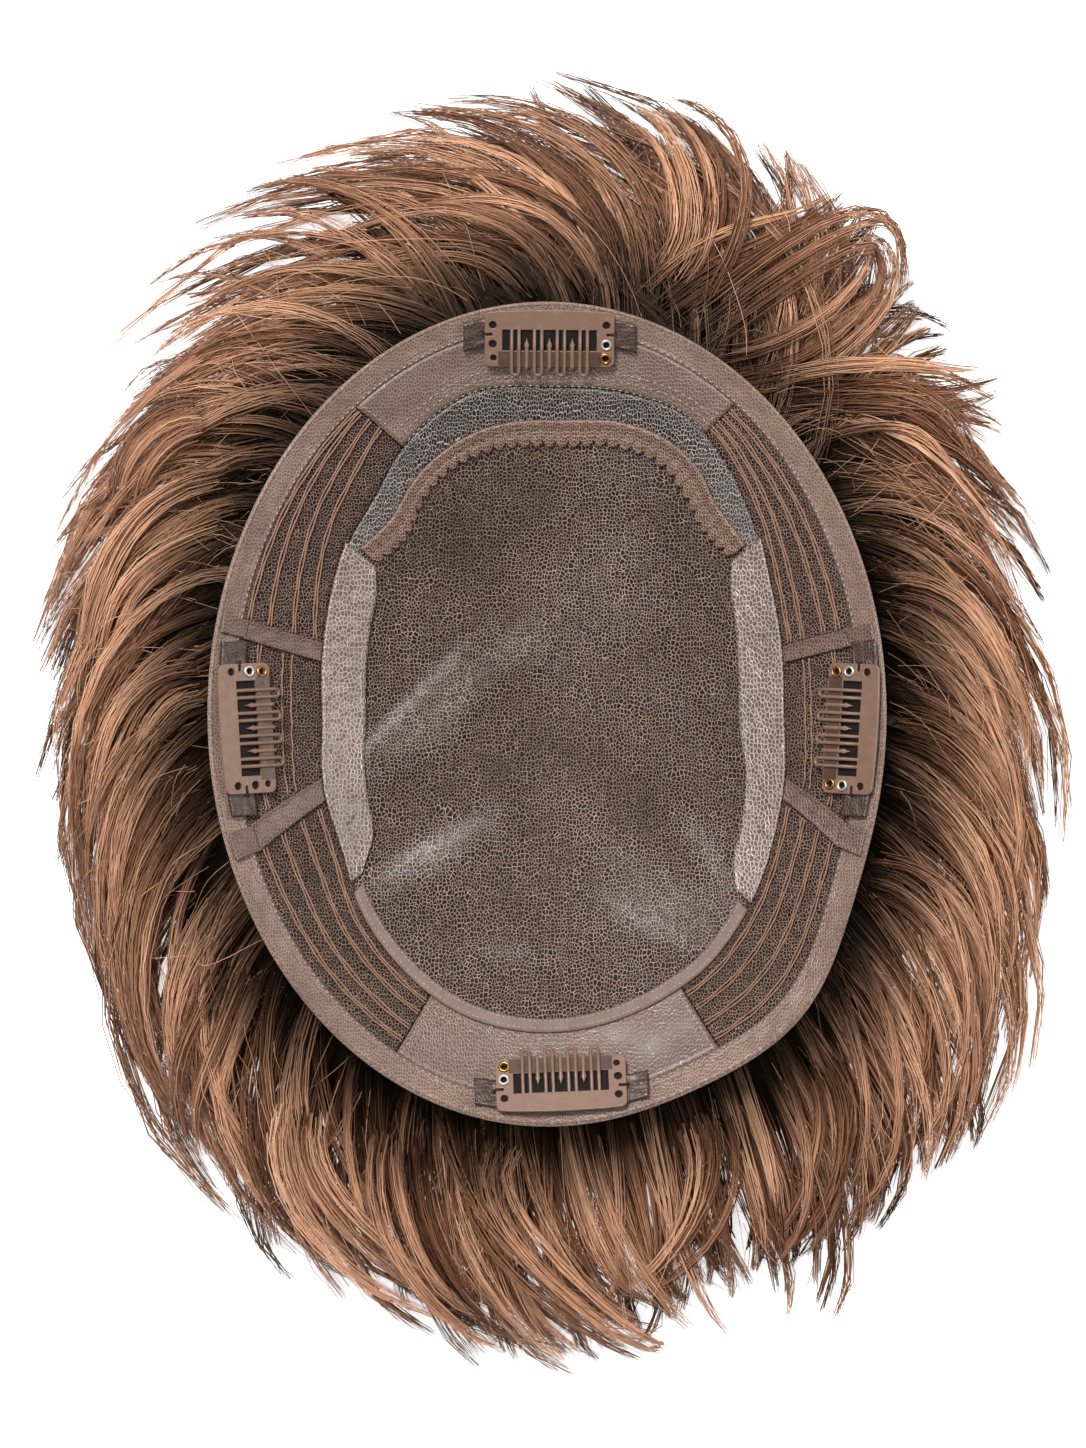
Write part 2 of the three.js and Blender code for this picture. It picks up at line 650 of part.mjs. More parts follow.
// Each rib runs the length of its panel, between the straps and tabs at its ends
function ribGeometry(rib, panel) {
  const strapHalf = (line) => (line.outerWidth ? Math.max(line.outerWidth, line.innerWidth) / 2 : 0);
  const from = movedLine(panel.from, strapHalf(panel.from) + CLEARANCE);
  const to = movedLine(lineAfter(panel.to, panel.from), -strapHalf(panel.to) - CLEARANCE);
  const rows = steps(RIB_STEPS).map((u) => {
    const across = lerp(rib.start, rib.end, u);
    const angle = lerp(lerp(from.inner, from.outer, across), lerp(to.inner, to.outer, across), u);
    const middle = lerp(overField.inner(angle), overField.outer(angle), across);
    const half = share(rib.width / 2, angle);
    const edges = [middle - half, middle + half];
    return {
      low: edges.map((place) => atShare(angle, place, CLOTH + CLEARANCE)),
      high: edges.map((place) => atShare(angle, place, CLOTH + CLEARANCE + RIB_HEIGHT)),
    };
  });
  return clothWall(rows, false);
}
const ribCounts = {};
RIBS.forEach((rib) => {
  const panel = PANELS.find(({ name }) => name === `stretch_${rib.panel}`);
  ribCounts[rib.panel] = (ribCounts[rib.panel] ?? 0) + 1;
  addPiece(`rib_${rib.panel}_${ribCounts[rib.panel]}`, ribGeometry(rib, panel), 'rib');
});

// Clips in their own frame: X along the clip, Y from the outer edge towards the teeth, Z away from the base
function boxShape(x0, y0, x1, y1) {
  return new THREE.Shape([
    new THREE.Vector2(x0, y0),
    new THREE.Vector2(x1, y0),
    new THREE.Vector2(x1, y1),
    new THREE.Vector2(x0, y1),
  ]);
}

const loopMiddle = (n) => (n - (LOOPS - 1) / 2) * CLIP.loopPitch;

// The sheet's outline: bowed outer edge, round corners, notched ends and the loops' round tips
function clipOutline() {
  const half = CLIP.length / 2;
  const { corner, depth, bow, notchLength, notchWidth, loopWidth, loopReach } = CLIP;
  const notch = (END_HOLES[0].across + END_HOLES[1].across - notchWidth) / 2;
  const shape = new THREE.Shape();
  shape.moveTo(-half + corner, 0);
  shape.quadraticCurveTo(0, -2 * bow, half - corner, 0);
  shape.quadraticCurveTo(half, 0, half, corner);
  shape.lineTo(half, notch);
  shape.lineTo(half - notchLength, notch);
  shape.lineTo(half - notchLength, notch + notchWidth);
  shape.lineTo(half, notch + notchWidth);
  shape.lineTo(half, depth - corner);
  shape.quadraticCurveTo(half, depth, half - corner, depth);
  for (let n = LOOPS - 1; n >= 0; n -= 1) {
    const middle = loopMiddle(n);
    shape.lineTo(middle + loopWidth / 2, depth);
    shape.lineTo(middle + loopWidth / 2, depth + loopReach - loopWidth / 2);
    shape.quadraticCurveTo(middle + loopWidth / 2, depth + loopReach, middle, depth + loopReach);
    shape.quadraticCurveTo(
      middle - loopWidth / 2, depth + loopReach, middle - loopWidth / 2, depth + loopReach - loopWidth / 2,
    );
    shape.lineTo(middle - loopWidth / 2, depth);
  }
  shape.lineTo(-half + corner, depth);
  shape.quadraticCurveTo(-half, depth, -half, depth - corner);
  shape.lineTo(-half, notch + notchWidth);
  shape.lineTo(-half + notchLength, notch + notchWidth);
  shape.lineTo(-half + notchLength, notch);
  shape.lineTo(-half, notch);
  shape.lineTo(-half, corner);
  shape.quadraticCurveTo(-half, 0, -half + corner, 0);
  return shape;
}

// The gaps of the window beside every leg of wire and every tongue, and the eyes of the loops' tips
function windowGaps() {
  const top = CLIP.plate;
  const foot = CLIP.depth - CLIP.bar;
  const eye = CLIP.loopWidth / 2 - CLIP.loopWire;
  const edges = [-CLIP.windowLength / 2];
  for (let n = 0; n < LOOPS; n += 1) {
    const middle = loopMiddle(n);
    edges.push(middle - CLIP.loopWidth / 2, middle - eye, middle + eye, middle + CLIP.loopWidth / 2);
    if (n < LOOPS - 1) {
      const tongue = middle + CLIP.loopPitch / 2;
      edges.push(tongue - CLIP.tongueWidth / 2, tongue + CLIP.tongueWidth / 2);
    }
  }
  edges.push(CLIP.windowLength / 2);
  const gaps = [];
  for (let i = 0; i < edges.length; i += 2) {
    gaps.push(boxShape(edges[i], top, edges[i + 1], foot));
  }
  for (let n = 0; n < LOOPS; n += 1) {
    const middle = loopMiddle(n);
    gaps.push(boxShape(middle - eye, CLIP.depth, middle + eye, CLIP.depth + CLIP.loopReach - CLIP.loopWire));
  }
  return gaps;
}

function clipGeometry() {
  const cuts = windowGaps();
  [-1, 1].forEach((end) => {
    END_HOLES.forEach(({ out, across, radius }) => {
      const round = new THREE.EllipseCurve(end * (CLIP.length / 2 - out), across, radius, radius);
      cuts.push(new THREE.Shape(round.getPoints(CIRCLE_SIDES).slice(0, -1)));
    });
  });
  const extruded = (shape, depth) =>
    new THREE.ExtrudeGeometry(shape, { depth, bevelEnabled: false, curveSegments: CORNER_STEPS });
  const sheet = toSolid(extruded(clipOutline(), CLIP.sheet));
  const cutters = cuts.map((cut) => toSolid(extruded(cut, 3 * CLIP.sheet).translate(0, 0, -CLIP.sheet)));
  return toGeometry(cutters.reduce((solid, cutter) => solid.subtract(cutter), sheet));
}

function eyeletGeometry() {
  const { outer, bore, thickness } = EYELET;
  const profile = [
    new THREE.Vector2(bore, 0),
    new THREE.Vector2(outer, 0),
    new THREE.Vector2(outer - thickness / 2, thickness),
    new THREE.Vector2(bore, thickness),
    new THREE.Vector2(bore, 0),
  ];
  const ring = new THREE.LatheGeometry(profile, CIRCLE_SIDES);
  ring.rotateX(Math.PI / 2);
  return outward(bareMerged(ring));
}

// The seat of a clip: its frame on the rim and how far it is lifted to clear the cloth
function clipSeat(clip) {
  const outerShare = 1 - share(clip.inset, clip.angle);
  const start = atShare(clip.angle, outerShare, 0, false);
  const middleShare = outerShare - share(CLIP.depth / 2, clip.angle);
  const middle = atShare(clip.angle, middleShare, 0, false);
  const normal = atShare(clip.angle, middleShare, 1, false).sub(middle).normalize();
  const inwards = middle.clone().sub(start);
  inwards.addScaledVector(normal, -inwards.dot(normal)).normalize();
  const along = new THREE.Vector3().crossVectors(inwards, normal);
  const onCloth = (x, y, lift) => {
    const flat = start.clone().addScaledVector(along, x).addScaledVector(inwards, y);
    return onBowl(flat.x, flat.y, lift, false);
  };
  const heights = steps(SEAT_STEPS.along).flatMap((u) => steps(SEAT_STEPS.across).map((v) => {
    const under = onCloth(lerp(-CLIP.length / 2, CLIP.length / 2, u), v * CLIP.depth, EDGE_BAND_THICKNESS);
    return under.sub(start).dot(normal);
  }));
  const lift = Math.max(...heights) + CLEARANCE + CLOTH + CLEARANCE;
  return { start, normal, inwards, along, lift, onCloth };
}

// The tape follows the band below it and is flat under the clip
function tapeGeometry(seat) {
  const rows = steps(TAPE_STEPS).map((u) => {
    const x = lerp(-TAPE_LENGTH / 2, TAPE_LENGTH / 2, u);
    const row = { low: [], high: [] };
    [0, 1].forEach((v) => {
      const low = seat.onCloth(x, CLIP.bow + v * TAPE_WIDTH, EDGE_BAND_THICKNESS + CLEARANCE);
      const room = seat.lift - CLEARANCE - low.clone().sub(seat.start).dot(seat.normal);
      row.low.push(low);
      row.high.push(low.clone().addScaledVector(seat.normal, Math.max(room, CLOTH)));
    });
    return row;
  });
  return clothWall(rows, false);
}

CLIPS.forEach((clip) => {
  const seat = clipSeat(clip);
  addPiece(`clip_tape_${clip.name}`, tapeGeometry(seat), 'tape');
  const mount = new THREE.Group();
  mount.position.copy(seat.start).addScaledVector(seat.normal, seat.lift);
  const turned = new THREE.Matrix4().makeBasis(seat.along, seat.inwards, seat.normal);
  mount.quaternion.setFromRotationMatrix(turned);
  toupee.add(mount);
  addPiece(`clip_${clip.name}`, clipGeometry(), 'clip', mount);
  clip.eyelets.forEach(({ end, hole, metal }, n) => {
    const place = END_HOLES[hole - 1];
    const eyelet = addPiece(`eyelet_${clip.name}_${n + 1}`, eyeletGeometry(), metal, mount);
    eyelet.position.set(end * (CLIP.length / 2 - place.out), place.across, CLIP.sheet + EYELET.gap);
  });
});

// Hair: a heap under the base with pointed locks swept round it
const hairReach = tableCurve(HAIR_FLOW, 'tip', 'reach', true);
const hairSweep = tableCurve(HAIR_FLOW, 'tip', 'sweep', true);

// A fixed scatter for each lock, up to half of the amount either way
const SCATTER_WAVE = { index: 12.9898, salt: 78.233, scale: 43758.5453 };
function scatter(index, { salt, amount }) {
  const value = Math.sin(index * SCATTER_WAVE.index + salt * SCATTER_WAVE.salt) * SCATTER_WAVE.scale;
  return amount * (value - Math.floor(value) - 0.5);
}

function hairHeap() {
  const profiles = steps(HAIR_STEPS).slice(0, -1).map((turn) => {
    const angle = turn * TURN;
    const top = HAIR_TOP_SHARES.map((place) => atShare(angle, place, -HAIR_TOP_GAP, false));
    const outside = HAIR_HEAP.map(({ out, height }) => {
      const radius = rimRadius(angle) + out * HAIR_REACH;
      return new THREE.Vector3(
        radius * Math.cos(rad(angle)), radius * Math.sin(rad(angle)), height * rimHeight(angle),
      );
    });
    return [...top, ...outside, new THREE.Vector3()];
  });
  return spunBody(profiles);
}

// The room of the base and everything above it, which no hair enters
function baseRoom() {
  const profiles = steps(HAIR_STEPS).slice(0, -1).map((turn) => {
    const angle = turn * TURN;
    const outside = rimRadius(angle) + RIM_AIR;
    const onWall = (height) =>
      new THREE.Vector3(outside * Math.cos(rad(angle)), outside * Math.sin(rad(angle)), height);
    const rimEdge = rimHeight(angle) - HAIR_TOP_GAP;
    const above = 2 * (CROWN_HEIGHT + BOWL_DEPTH);
    const underside = HAIR_TOP_SHARES.map((place) => atShare(angle, place, -HAIR_TOP_GAP, false)).reverse();
    return [new THREE.Vector3(0, 0, above), onWall(above), onWall(rimEdge), ...underside];
  });
  return spunBody(profiles);
}

// One lock: a flattened, pointed body along a curve that leaves outwards and bends round
function lockGeometry(tier, index) {
  const tip = lerp(tier.from, tier.to, (index + scatter(index, LOCK_SCATTER.place)) / tier.count);
  const sweep = hairSweep(tip) * tier.turn * (1 + scatter(index, LOCK_SCATTER.sweep));
  const reach = hairReach(tip) * HAIR_REACH * tier.reach * (1 + scatter(index, LOCK_SCATTER.reach));
  const root = tip - sweep;
  const stations = steps(LOCK_STEPS).map((s) => {
    const angle = root + sweep * s ** LOCK.bend;
    const out = 1 - (1 - s) ** LOCK.spring;
    const radius = lerp(rimRadius(root) * LOCK.rootShare, rimRadius(tip) + reach, out);
    const hump = 4 * s * (1 - s) * tier.hump;
    const height = (lerp(tier.rootHeight, tier.tipHeight, s ** LOCK.fall) + hump) * rimHeight(angle);
    return new THREE.Vector3(radius * Math.cos(rad(angle)), radius * Math.sin(rad(angle)), height);
  });
  const path = new THREE.CatmullRomCurve3(stations);
  const size = 1 + scatter(index, LOCK_SCATTER.size);
  const rows = steps(LOCK_STEPS).map((s) => {
    const middle = path.getPoint(s);
    const ahead = path.getTangent(s);
    const side = new THREE.Vector3(ahead.y, -ahead.x, 0).normalize();
    const up = new THREE.Vector3().crossVectors(side, ahead).normalize();
    const round = Math.sin(Math.PI * lerp(LOCK.fullAt, 1, s));
    const taper = Math.max(round ** LOCK.taper, LOCK.tipShare);
    const half = (tier.width / 2) * taper * size;
    const thick = Math.min((tier.thickness / 2) * taper * size, middle.z - LOCK.floorGap);
    return LOCK_SECTION.map(([a, b]) =>
      middle.clone().addScaledVector(side, a * half).addScaledVector(up, b * thick));
  });
  return lockBody(rows);
}

function lockBody(rows) {
  const count = rows[0].length;
  const points = rows.flat();
  const triangles = [];
  const at = (i, j) => i * count + (j % count);
  for (let i = 0; i < rows.length - 1; i += 1) {
    for (let j = 0; j < count; j += 1) {
      triangles.push(at(i, j), at(i, j + 1), at(i + 1, j + 1), at(i, j), at(i + 1, j + 1), at(i + 1, j));
    }
  }
  for (let j = 1; j < count - 1; j += 1) {
    triangles.push(at(0, 0), at(0, j + 1), at(0, j));
    triangles.push(at(rows.length - 1, 0), at(rows.length - 1, j), at(rows.length - 1, j + 1));
  }
  return outward(meshGeometry(points, triangles));
}

const locks = LOCK_TIERS.flatMap((tier) =>
  Array.from({ length: tier.count }, (_, index) => lockGeometry(tier, index)));
const hairSolid = [hairHeap(), ...locks].map(toSolid).reduce((sum, solid) => sum.add(solid));
addPiece('hair', toGeometry(hairSolid.subtract(toSolid(baseRoom()))), 'hair');

// The middle of the whole piece comes over the origin and its lowest face on the resting plane
const reach = new THREE.Box3().setFromObject(toupee);
const middle = reach.getCenter(new THREE.Vector3());
toupee.position.set(-middle.x, -middle.y, -reach.min.z);

export default toupee;
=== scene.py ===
"""Looks of a toupee hairpiece that lies on its hair with the open bowl of its base facing up.

Lengths are in millimetres and are turned into metres when a mesh is written. +Y is the front of the base.
"""

import logging
import math
from dataclasses import dataclass, field, fields
from enum import Enum
from typing import Callable, Optional, Sequence

import bpy
import numpy as np
from mathutils import Matrix, Vector


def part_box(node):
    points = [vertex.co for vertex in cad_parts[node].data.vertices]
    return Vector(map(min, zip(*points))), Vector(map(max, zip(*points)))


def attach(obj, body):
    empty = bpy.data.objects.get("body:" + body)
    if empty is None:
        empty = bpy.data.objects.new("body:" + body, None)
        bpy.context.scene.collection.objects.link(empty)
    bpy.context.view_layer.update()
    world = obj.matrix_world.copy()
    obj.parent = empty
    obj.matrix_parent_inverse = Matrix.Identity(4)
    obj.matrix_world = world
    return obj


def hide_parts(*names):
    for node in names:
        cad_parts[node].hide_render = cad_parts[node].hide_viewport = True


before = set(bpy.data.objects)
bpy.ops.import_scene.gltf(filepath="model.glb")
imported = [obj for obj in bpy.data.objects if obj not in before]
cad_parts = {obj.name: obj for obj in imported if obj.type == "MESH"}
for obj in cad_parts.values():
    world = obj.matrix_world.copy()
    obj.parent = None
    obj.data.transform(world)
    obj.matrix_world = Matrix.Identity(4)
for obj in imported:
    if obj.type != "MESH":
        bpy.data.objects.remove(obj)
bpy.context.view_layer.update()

MM = 0.001
TURN = 360.0
BODY = "root"
PHOTO_WIDTH = 1086
PHOTO_HEIGHT = 1448
PHOTO_SCALE = 0.2441
PHOTO_BASE_MIDDLE = (547.0, 712.5)

log = logging.getLogger("toupee")

Colour = tuple[float, float, float]
Edge = Callable[[np.ndarray], np.ndarray]
Run = tuple[np.ndarray, np.ndarray, np.ndarray]


# Curves and the form of the base


class Fit(Enum):
    """How a table of rows is read past its ends."""

    CLOSED = "closed"
    OPEN = "open"


class TableCurve:
    """A smooth curve through (key, value) rows."""

    def __init__(self, rows: Sequence[tuple[float, float]], fit: Fit) -> None:
        """Keeps the rows and the slope at each of them.

        Args:
            rows: pairs of key and value, keys rising.
            fit: whether the curve closes after a full turn of its key.
        """
        keys = [row[0] for row in rows]
        values = [row[1] for row in rows]
        self.first = keys[0]
        self.fit = fit
        if fit is Fit.CLOSED:
            keys = [keys[-1] - TURN, *keys, keys[0] + TURN, keys[1] + TURN]
            values = [values[-1], *values, values[0], values[1]]
        self.keys = np.array(keys, float)
        self.values = np.array(values, float)
        before = np.maximum(np.arange(len(keys)) - 1, 0)
        after = np.minimum(np.arange(len(keys)) + 1, len(keys) - 1)
        rise = self.values[after] - self.values[before]
        self.slopes = rise / (self.keys[after] - self.keys[before])

    def __call__(self, at: np.ndarray) -> np.ndarray:
        """Returns the curve's value at each key."""
        place = np.asarray(at, float)
        if self.fit is Fit.CLOSED:
            place = np.mod(place - self.first, TURN) + self.first
        i = np.clip(np.searchsorted(self.keys, place, side="left") - 1, 0, len(self.keys) - 2)
        span = self.keys[i + 1] - self.keys[i]
        t = np.clip((place - self.keys[i]) / span, 0, 1)
        rise = t * t * (3 - 2 * t)
        start_pull = t * (1 - t) ** 2 * span * self.slopes[i]
        end_pull = t * t * (t - 1) * span * self.slopes[i + 1]
        return self.values[i] + (self.values[i + 1] - self.values[i]) * rise + start_pull + end_pull


def column_curve(rows: Sequence[Sequence[float]], column: int, fit: Fit) -> TableCurve:
    """Returns the curve through one column of a table whose first column is the key."""
    return TableCurve([(row[0], row[column]) for row in rows], fit)


def polar(angle: np.ndarray, radius: np.ndarray) -> tuple[np.ndarray, np.ndarray]:
    """Returns the places on the plan of an angle in degrees and a radius."""
    a = np.radians(angle)
    return radius * np.cos(a), radius * np.sin(a)


def ridge(value: np.ndarray, middle: float, width: float) -> np.ndarray:
    """Returns a rounded ridge that is 1 high at its middle."""
    return np.exp(-(((value - middle) / width) ** 2))


@dataclass(frozen=True)
class Swell:
    """A soft rise round one angle of the rim."""

    height: float
    angle: float
    spread: float

    def at(self, angle: np.ndarray) -> np.ndarray:
        """Returns the rise at each angle in degrees."""
        off = np.mod(angle - self.angle + TURN / 2, TURN) - TURN / 2
        return self.height * ridge(off, 0.0, self.spread)


@dataclass(frozen=True)
class Fold:
    """A soft oval rise over the plan, in shares of the half width of the rim."""

    x: float
    y: float
    turn: float
    along: float
    across: float
    height: float

    def at(self, x: np.ndarray, y: np.ndarray, half: float) -> np.ndarray:
        """Returns the rise over points of the plan, given the half width of the rim."""
        turn = math.radians(self.turn)
        dx = x / half - self.x
        dy = y / half - self.y
        along = (dx * math.cos(turn) + dy * math.sin(turn)) / self.along
        across = (dy * math.cos(turn) - dx * math.sin(turn)) / self.across
        return self.height * np.exp(-(along**2 + across**2))


FRAME_OUTLINE = (
    (0, 0.711), (15, 0.722), (30, 0.742), (45, 0.79), (59, 0.836), (66, 0.847), (74, 0.832), (89, 0.808),
    (103, 0.824), (111, 0.81), (119, 0.788), (129, 0.748), (138, 0.737), (153, 0.707), (165, 0.69),
    (182, 0.675), (198, 0.694), (214, 0.702), (228, 0.741), (240, 0.762), (254, 0.78), (270, 0.782),
    (288, 0.776), (299, 0.762), (311, 0.738), (327, 0.742), (344, 0.731),
)
LACE_SEAM = (
    (32, 0.72), (39, 0.71), (45, 0.687), (52, 0.688), (59, 0.715), (66, 0.728), (75, 0.717), (88, 0.687),
    (103, 0.693), (113, 0.686), (121, 0.669), (129, 0.64), (136, 0.652), (144, 0.7),
)


@dataclass(frozen=True)
class BaseForm:
    """The curved surface that every cloth piece of the base lies on."""

    middle: tuple[float, float]
    rim_width: float = 166.4
    rim_length: float = 202.6
    bowl_depth: float = 34.0
    bowl_flare: float = 1.5
    crown_height: float = 17.0
    fold_height: float = 2.4
    edge_band_width: float = 6.3
    seam_overlap: float = 1.2
    clearance: float = 0.3
    cloth: float = 1.0
    bulge: Swell = Swell(4.6, -50, 15)
    front_drop: Swell = Swell(13, 90, 55)
    folds: tuple[Fold, ...] = (
        Fold(-0.27, 0.05, 42, 0.42, 0.085, 1.0),
        Fold(-0.36, -0.45, 32, 0.24, 0.08, 0.8),
        Fold(0.37, -0.56, -35, 0.2, 0.1, 0.75),
        Fold(0.2, 0.1, -62, 0.5, 0.12, 0.45),
    )
    outline: TableCurve = field(default_factory=lambda: TableCurve(FRAME_OUTLINE, Fit.CLOSED))
    seam: TableCurve = field(default_factory=lambda: TableCurve(LACE_SEAM, Fit.OPEN))

    def rim_radius(self, angle: np.ndarray) -> np.ndarray:
        """Returns the radius of the rim's outline at each angle in degrees."""
        a = np.radians(angle)
        plain = 1 / np.hypot(2 * np.cos(a) / self.rim_width, 2 * np.sin(a) / self.rim_length)
        return plain + self.bulge.at(angle)

    def rim_height(self, angle: np.ndarray) -> np.ndarray:
        """Returns the height of the rim at each angle."""
        return self.crown_height + self.bowl_depth - self.front_drop.at(angle)

    def height(self, x: np.ndarray, y: np.ndarray, folded: bool = True) -> np.ndarray:
        """Height of the base's underside over points of the plan.

        Args:
            x: distances to the right of the base's middle.
            y: distances to the front of it.
            folded: whether the soft folds count.

        Returns:
            The heights over the resting plane.
        """
        angle = np.degrees(np.arctan2(y, x))
        share = np.hypot(x, y) / self.rim_radius(angle)
        rise = (np.hypot(1, self.bowl_flare * share) - 1) / (math.hypot(1, self.bowl_flare) - 1)
        depth = self.bowl_depth - self.front_drop.at(angle)
        height = self.crown_height + depth * rise
        if not folded:
            return height
        for fold in self.folds:
            height = height + self.fold_height * fold.at(x, y, self.rim_width / 2)
        return height

    def on_bowl(self, x: np.ndarray, y: np.ndarray, lift: np.ndarray, folded: bool = True) -> np.ndarray:
        """Points over the plan, lifted along the surface's normal.

        Args:
            x: distances to the right of the base's middle.
            y: distances to the front of it.
            lift: height over the surface.
            folded: whether the soft folds count.

        Returns:
            Points about the base's middle, in an array that ends in three coordinates.
        """
        step = 0.5
        slope_x = (self.height(x + step, y, folded) - self.height(x - step, y, folded)) / (2 * step)
        slope_y = (self.height(x, y + step, folded) - self.height(x, y - step, folded)) / (2 * step)
        normal = np.stack([-slope_x, -slope_y, np.ones_like(slope_x)], axis=-1)
        normal /= np.linalg.norm(normal, axis=-1, keepdims=True)
        foot = np.stack([x, y, self.height(x, y, folded)], axis=-1)
        return foot + normal * np.asarray(lift)[..., None]

    def at_share(
        self, angle: np.ndarray, share: np.ndarray, lift: np.ndarray, folded: bool = True
    ) -> np.ndarray:
        """Points at shares of the rim's radius, lifted along the surface's normal."""
        x, y = polar(angle, self.rim_radius(angle) * share)
        return self.on_bowl(x, y, np.broadcast_to(lift, x.shape), folded)

    def share(self, length: float, angle: np.ndarray) -> np.ndarray:
        """Returns a length as a share of the rim's radius."""
        return length / self.rim_radius(angle)

    def shifted(self, edge: Edge, length: float) -> Edge:
        """Returns an edge moved outwards by a length."""
        return lambda angle: edge(angle) + self.share(length, angle)

    @staticmethod
    def rim(angle: np.ndarray) -> np.ndarray:
        """Returns the rim itself as a share."""
        return np.ones_like(angle, dtype=float)

    def band_inner(self, angle: np.ndarray) -> np.ndarray:
        """Returns the inner edge of the edge band as a share."""
        return 1 - self.share(self.edge_band_width, angle)

    def field_inner(self, angle: np.ndarray) -> np.ndarray:
        """Returns the seam under the outer edge of the oval frame as a share."""
        return self.outline(angle) - self.share(self.seam_overlap, angle)

    def panel_seam(self, angle: np.ndarray) -> np.ndarray:
        """Returns the edge of the centre panel as a share."""
        turned = np.mod(angle, TURN)
        beside_lace = (turned >= LACE_SEAM[0][0]) & (turned <= LACE_SEAM[-1][0])
        plain = self.field_inner(angle)
        return np.where(beside_lace, np.minimum(plain, self.seam(turned)), plain)


# Meshes


def write_mesh(
    name: str,
    points: np.ndarray,
    faces: Sequence[Sequence[int]],
    form: BaseForm,
    uv: Optional[np.ndarray] = None,
    smooth: bool = True,
) -> bpy.types.Object:
    """Writes a mesh object from points about the base's middle.

    Args:
        name: the object's name.
        points: points in millimetres.
        faces: point numbers of each face.
        form: the base, for its middle in the frame.
        uv: a flat place in metres for each point.
        smooth: whether faces shade smoothly.

    Returns:
        The new object, at the origin.
    """
    shift = np.array([form.middle[0], form.middle[1], 0.0])
    mesh = bpy.data.meshes.new(name)
    mesh.from_pydata(((points + shift) * MM).tolist(), [], [list(f) for f in faces])
    if uv is not None:
        layer = mesh.uv_layers.new(name="UVMap")
        loops = np.empty(len(mesh.loops), np.int32)
        mesh.loops.foreach_get("vertex_index", loops)
        layer.data.foreach_set("uv", uv[loops].astype(np.float32).ravel())
    mesh.polygons.foreach_set("use_smooth", [smooth] * len(mesh.polygons))
    mesh.update()
    made = bpy.data.objects.new(name, mesh)
    bpy.context.scene.collection.objects.link(made)
    return made


def write_values(mesh: bpy.types.Mesh, label: str, values: np.ndarray, kind: str = "FLOAT") -> None:
    """Writes a number or a vector for each point of a mesh as a named attribute."""
    flat = np.asarray(values, np.float32).ravel()
    key = "value" if kind == "FLOAT" else "vector"
    mesh.attributes.new(label, kind, "POINT").data.foreach_set(key, flat)


def ring_faces(rows: int, sides: int, closed: bool = False) -> list[tuple[int, ...]]:
    """Faces between rows of points that each go round.

    Args:
        rows: number of rows.
        sides: points of one row.
        closed: whether the last row joins the first.

    Returns:
        Faces as tuples of point numbers.
    """
    faces = []
    for i in range(rows if closed else rows - 1):
        k = (i + 1) % rows
        for j in range(sides):
            m = (j + 1) % sides
            faces.append((i * sides + j, i * sides + m, k * sides + m, k * sides + j))
    return faces


def wall_faces(rows: int, columns: int, closed: bool) -> list[tuple[int, ...]]:
    """Faces of a closed wall whose low points come first and its high points after them.

    Args:
        rows: number of rows along the cloth.
        columns: points of one row.
        closed: whether the last row joins the first.

    Returns:
        Faces as tuples of point numbers, pointing out.
    """
    count = rows * columns

    def low(i: int, j: int) -> int:
        """Returns the number of a low point."""
        return (i % rows) * columns + j

    def high(i: int, j: int) -> int:
        """Returns the number of a high point."""
        return count + low(i, j)

    faces = []
    last = columns - 1
    for i in range(rows if closed else rows - 1):
        for j in range(last):
            faces.append((high(i, j), high(i + 1, j), high(i + 1, j + 1), high(i, j + 1)))
            faces.append((low(i, j), low(i, j + 1), low(i + 1, j + 1), low(i + 1, j)))
        faces.append((low(i, 0), low(i + 1, 0), high(i + 1, 0), high(i, 0)))
        faces.append((low(i, last), high(i, last), high(i + 1, last), low(i + 1, last)))
    if not closed:
        end = rows - 1
        for j in range(last):
            faces.append((low(0, j), high(0, j), high(0, j + 1), low(0, j + 1)))
            faces.append((low(end, j), low(end, j + 1), high(end, j + 1), high(end, j)))
    return faces


def outward(made: bpy.types.Object) -> bpy.types.Object:
    """Turns all faces of a closed mesh round where its volume is negative, and returns the object."""
    mesh = made.data
    mesh.calc_loop_triangles()
    points = np.array([v.co for v in mesh.vertices], float)
    corners = np.array([t.vertices for t in mesh.loop_triangles], int)
    a, b, c = (points[corners[:, k]] for k in range(3))
    if np.einsum("ij,ij->", a, np.cross(b, c)) < 0:
        mesh.flip_normals()
    return made


def cloth_wall(
    name: str, low: np.ndarray, high: np.ndarray, form: BaseForm, closed: bool = False
) -> bpy.types.Object:
    """A closed wall of cloth between two grids of points.

    Args:
        name: the object's name.
        low: grid of points of the underside, (rows, columns, 3).
        high: the same grid on the upper side.
        form: the base that it lies on.
        closed: whether the last row joins the first.

    Returns:
        The object, whose UV map holds metres along and across the cloth.
    """
    rows, columns = high.shape[:2]
    middle = high[:, columns // 2]
    along = np.concatenate([[0], np.cumsum(np.linalg.norm(np.diff(middle, axis=0), axis=1))])
    across = np.cumsum(np.linalg.norm(np.diff(high, axis=1, prepend=high[:, :1]), axis=2), axis=1)
    uv = np.stack([np.broadcast_to(along[:, None], across.shape), across], axis=-1).reshape(-1, 2) * MM
    points = np.concatenate([low.reshape(-1, 3), high.reshape(-1, 3)])
    made = write_mesh(name, points, wall_faces(rows, columns, closed), form, np.concatenate([uv, uv]))
    return outward(made)


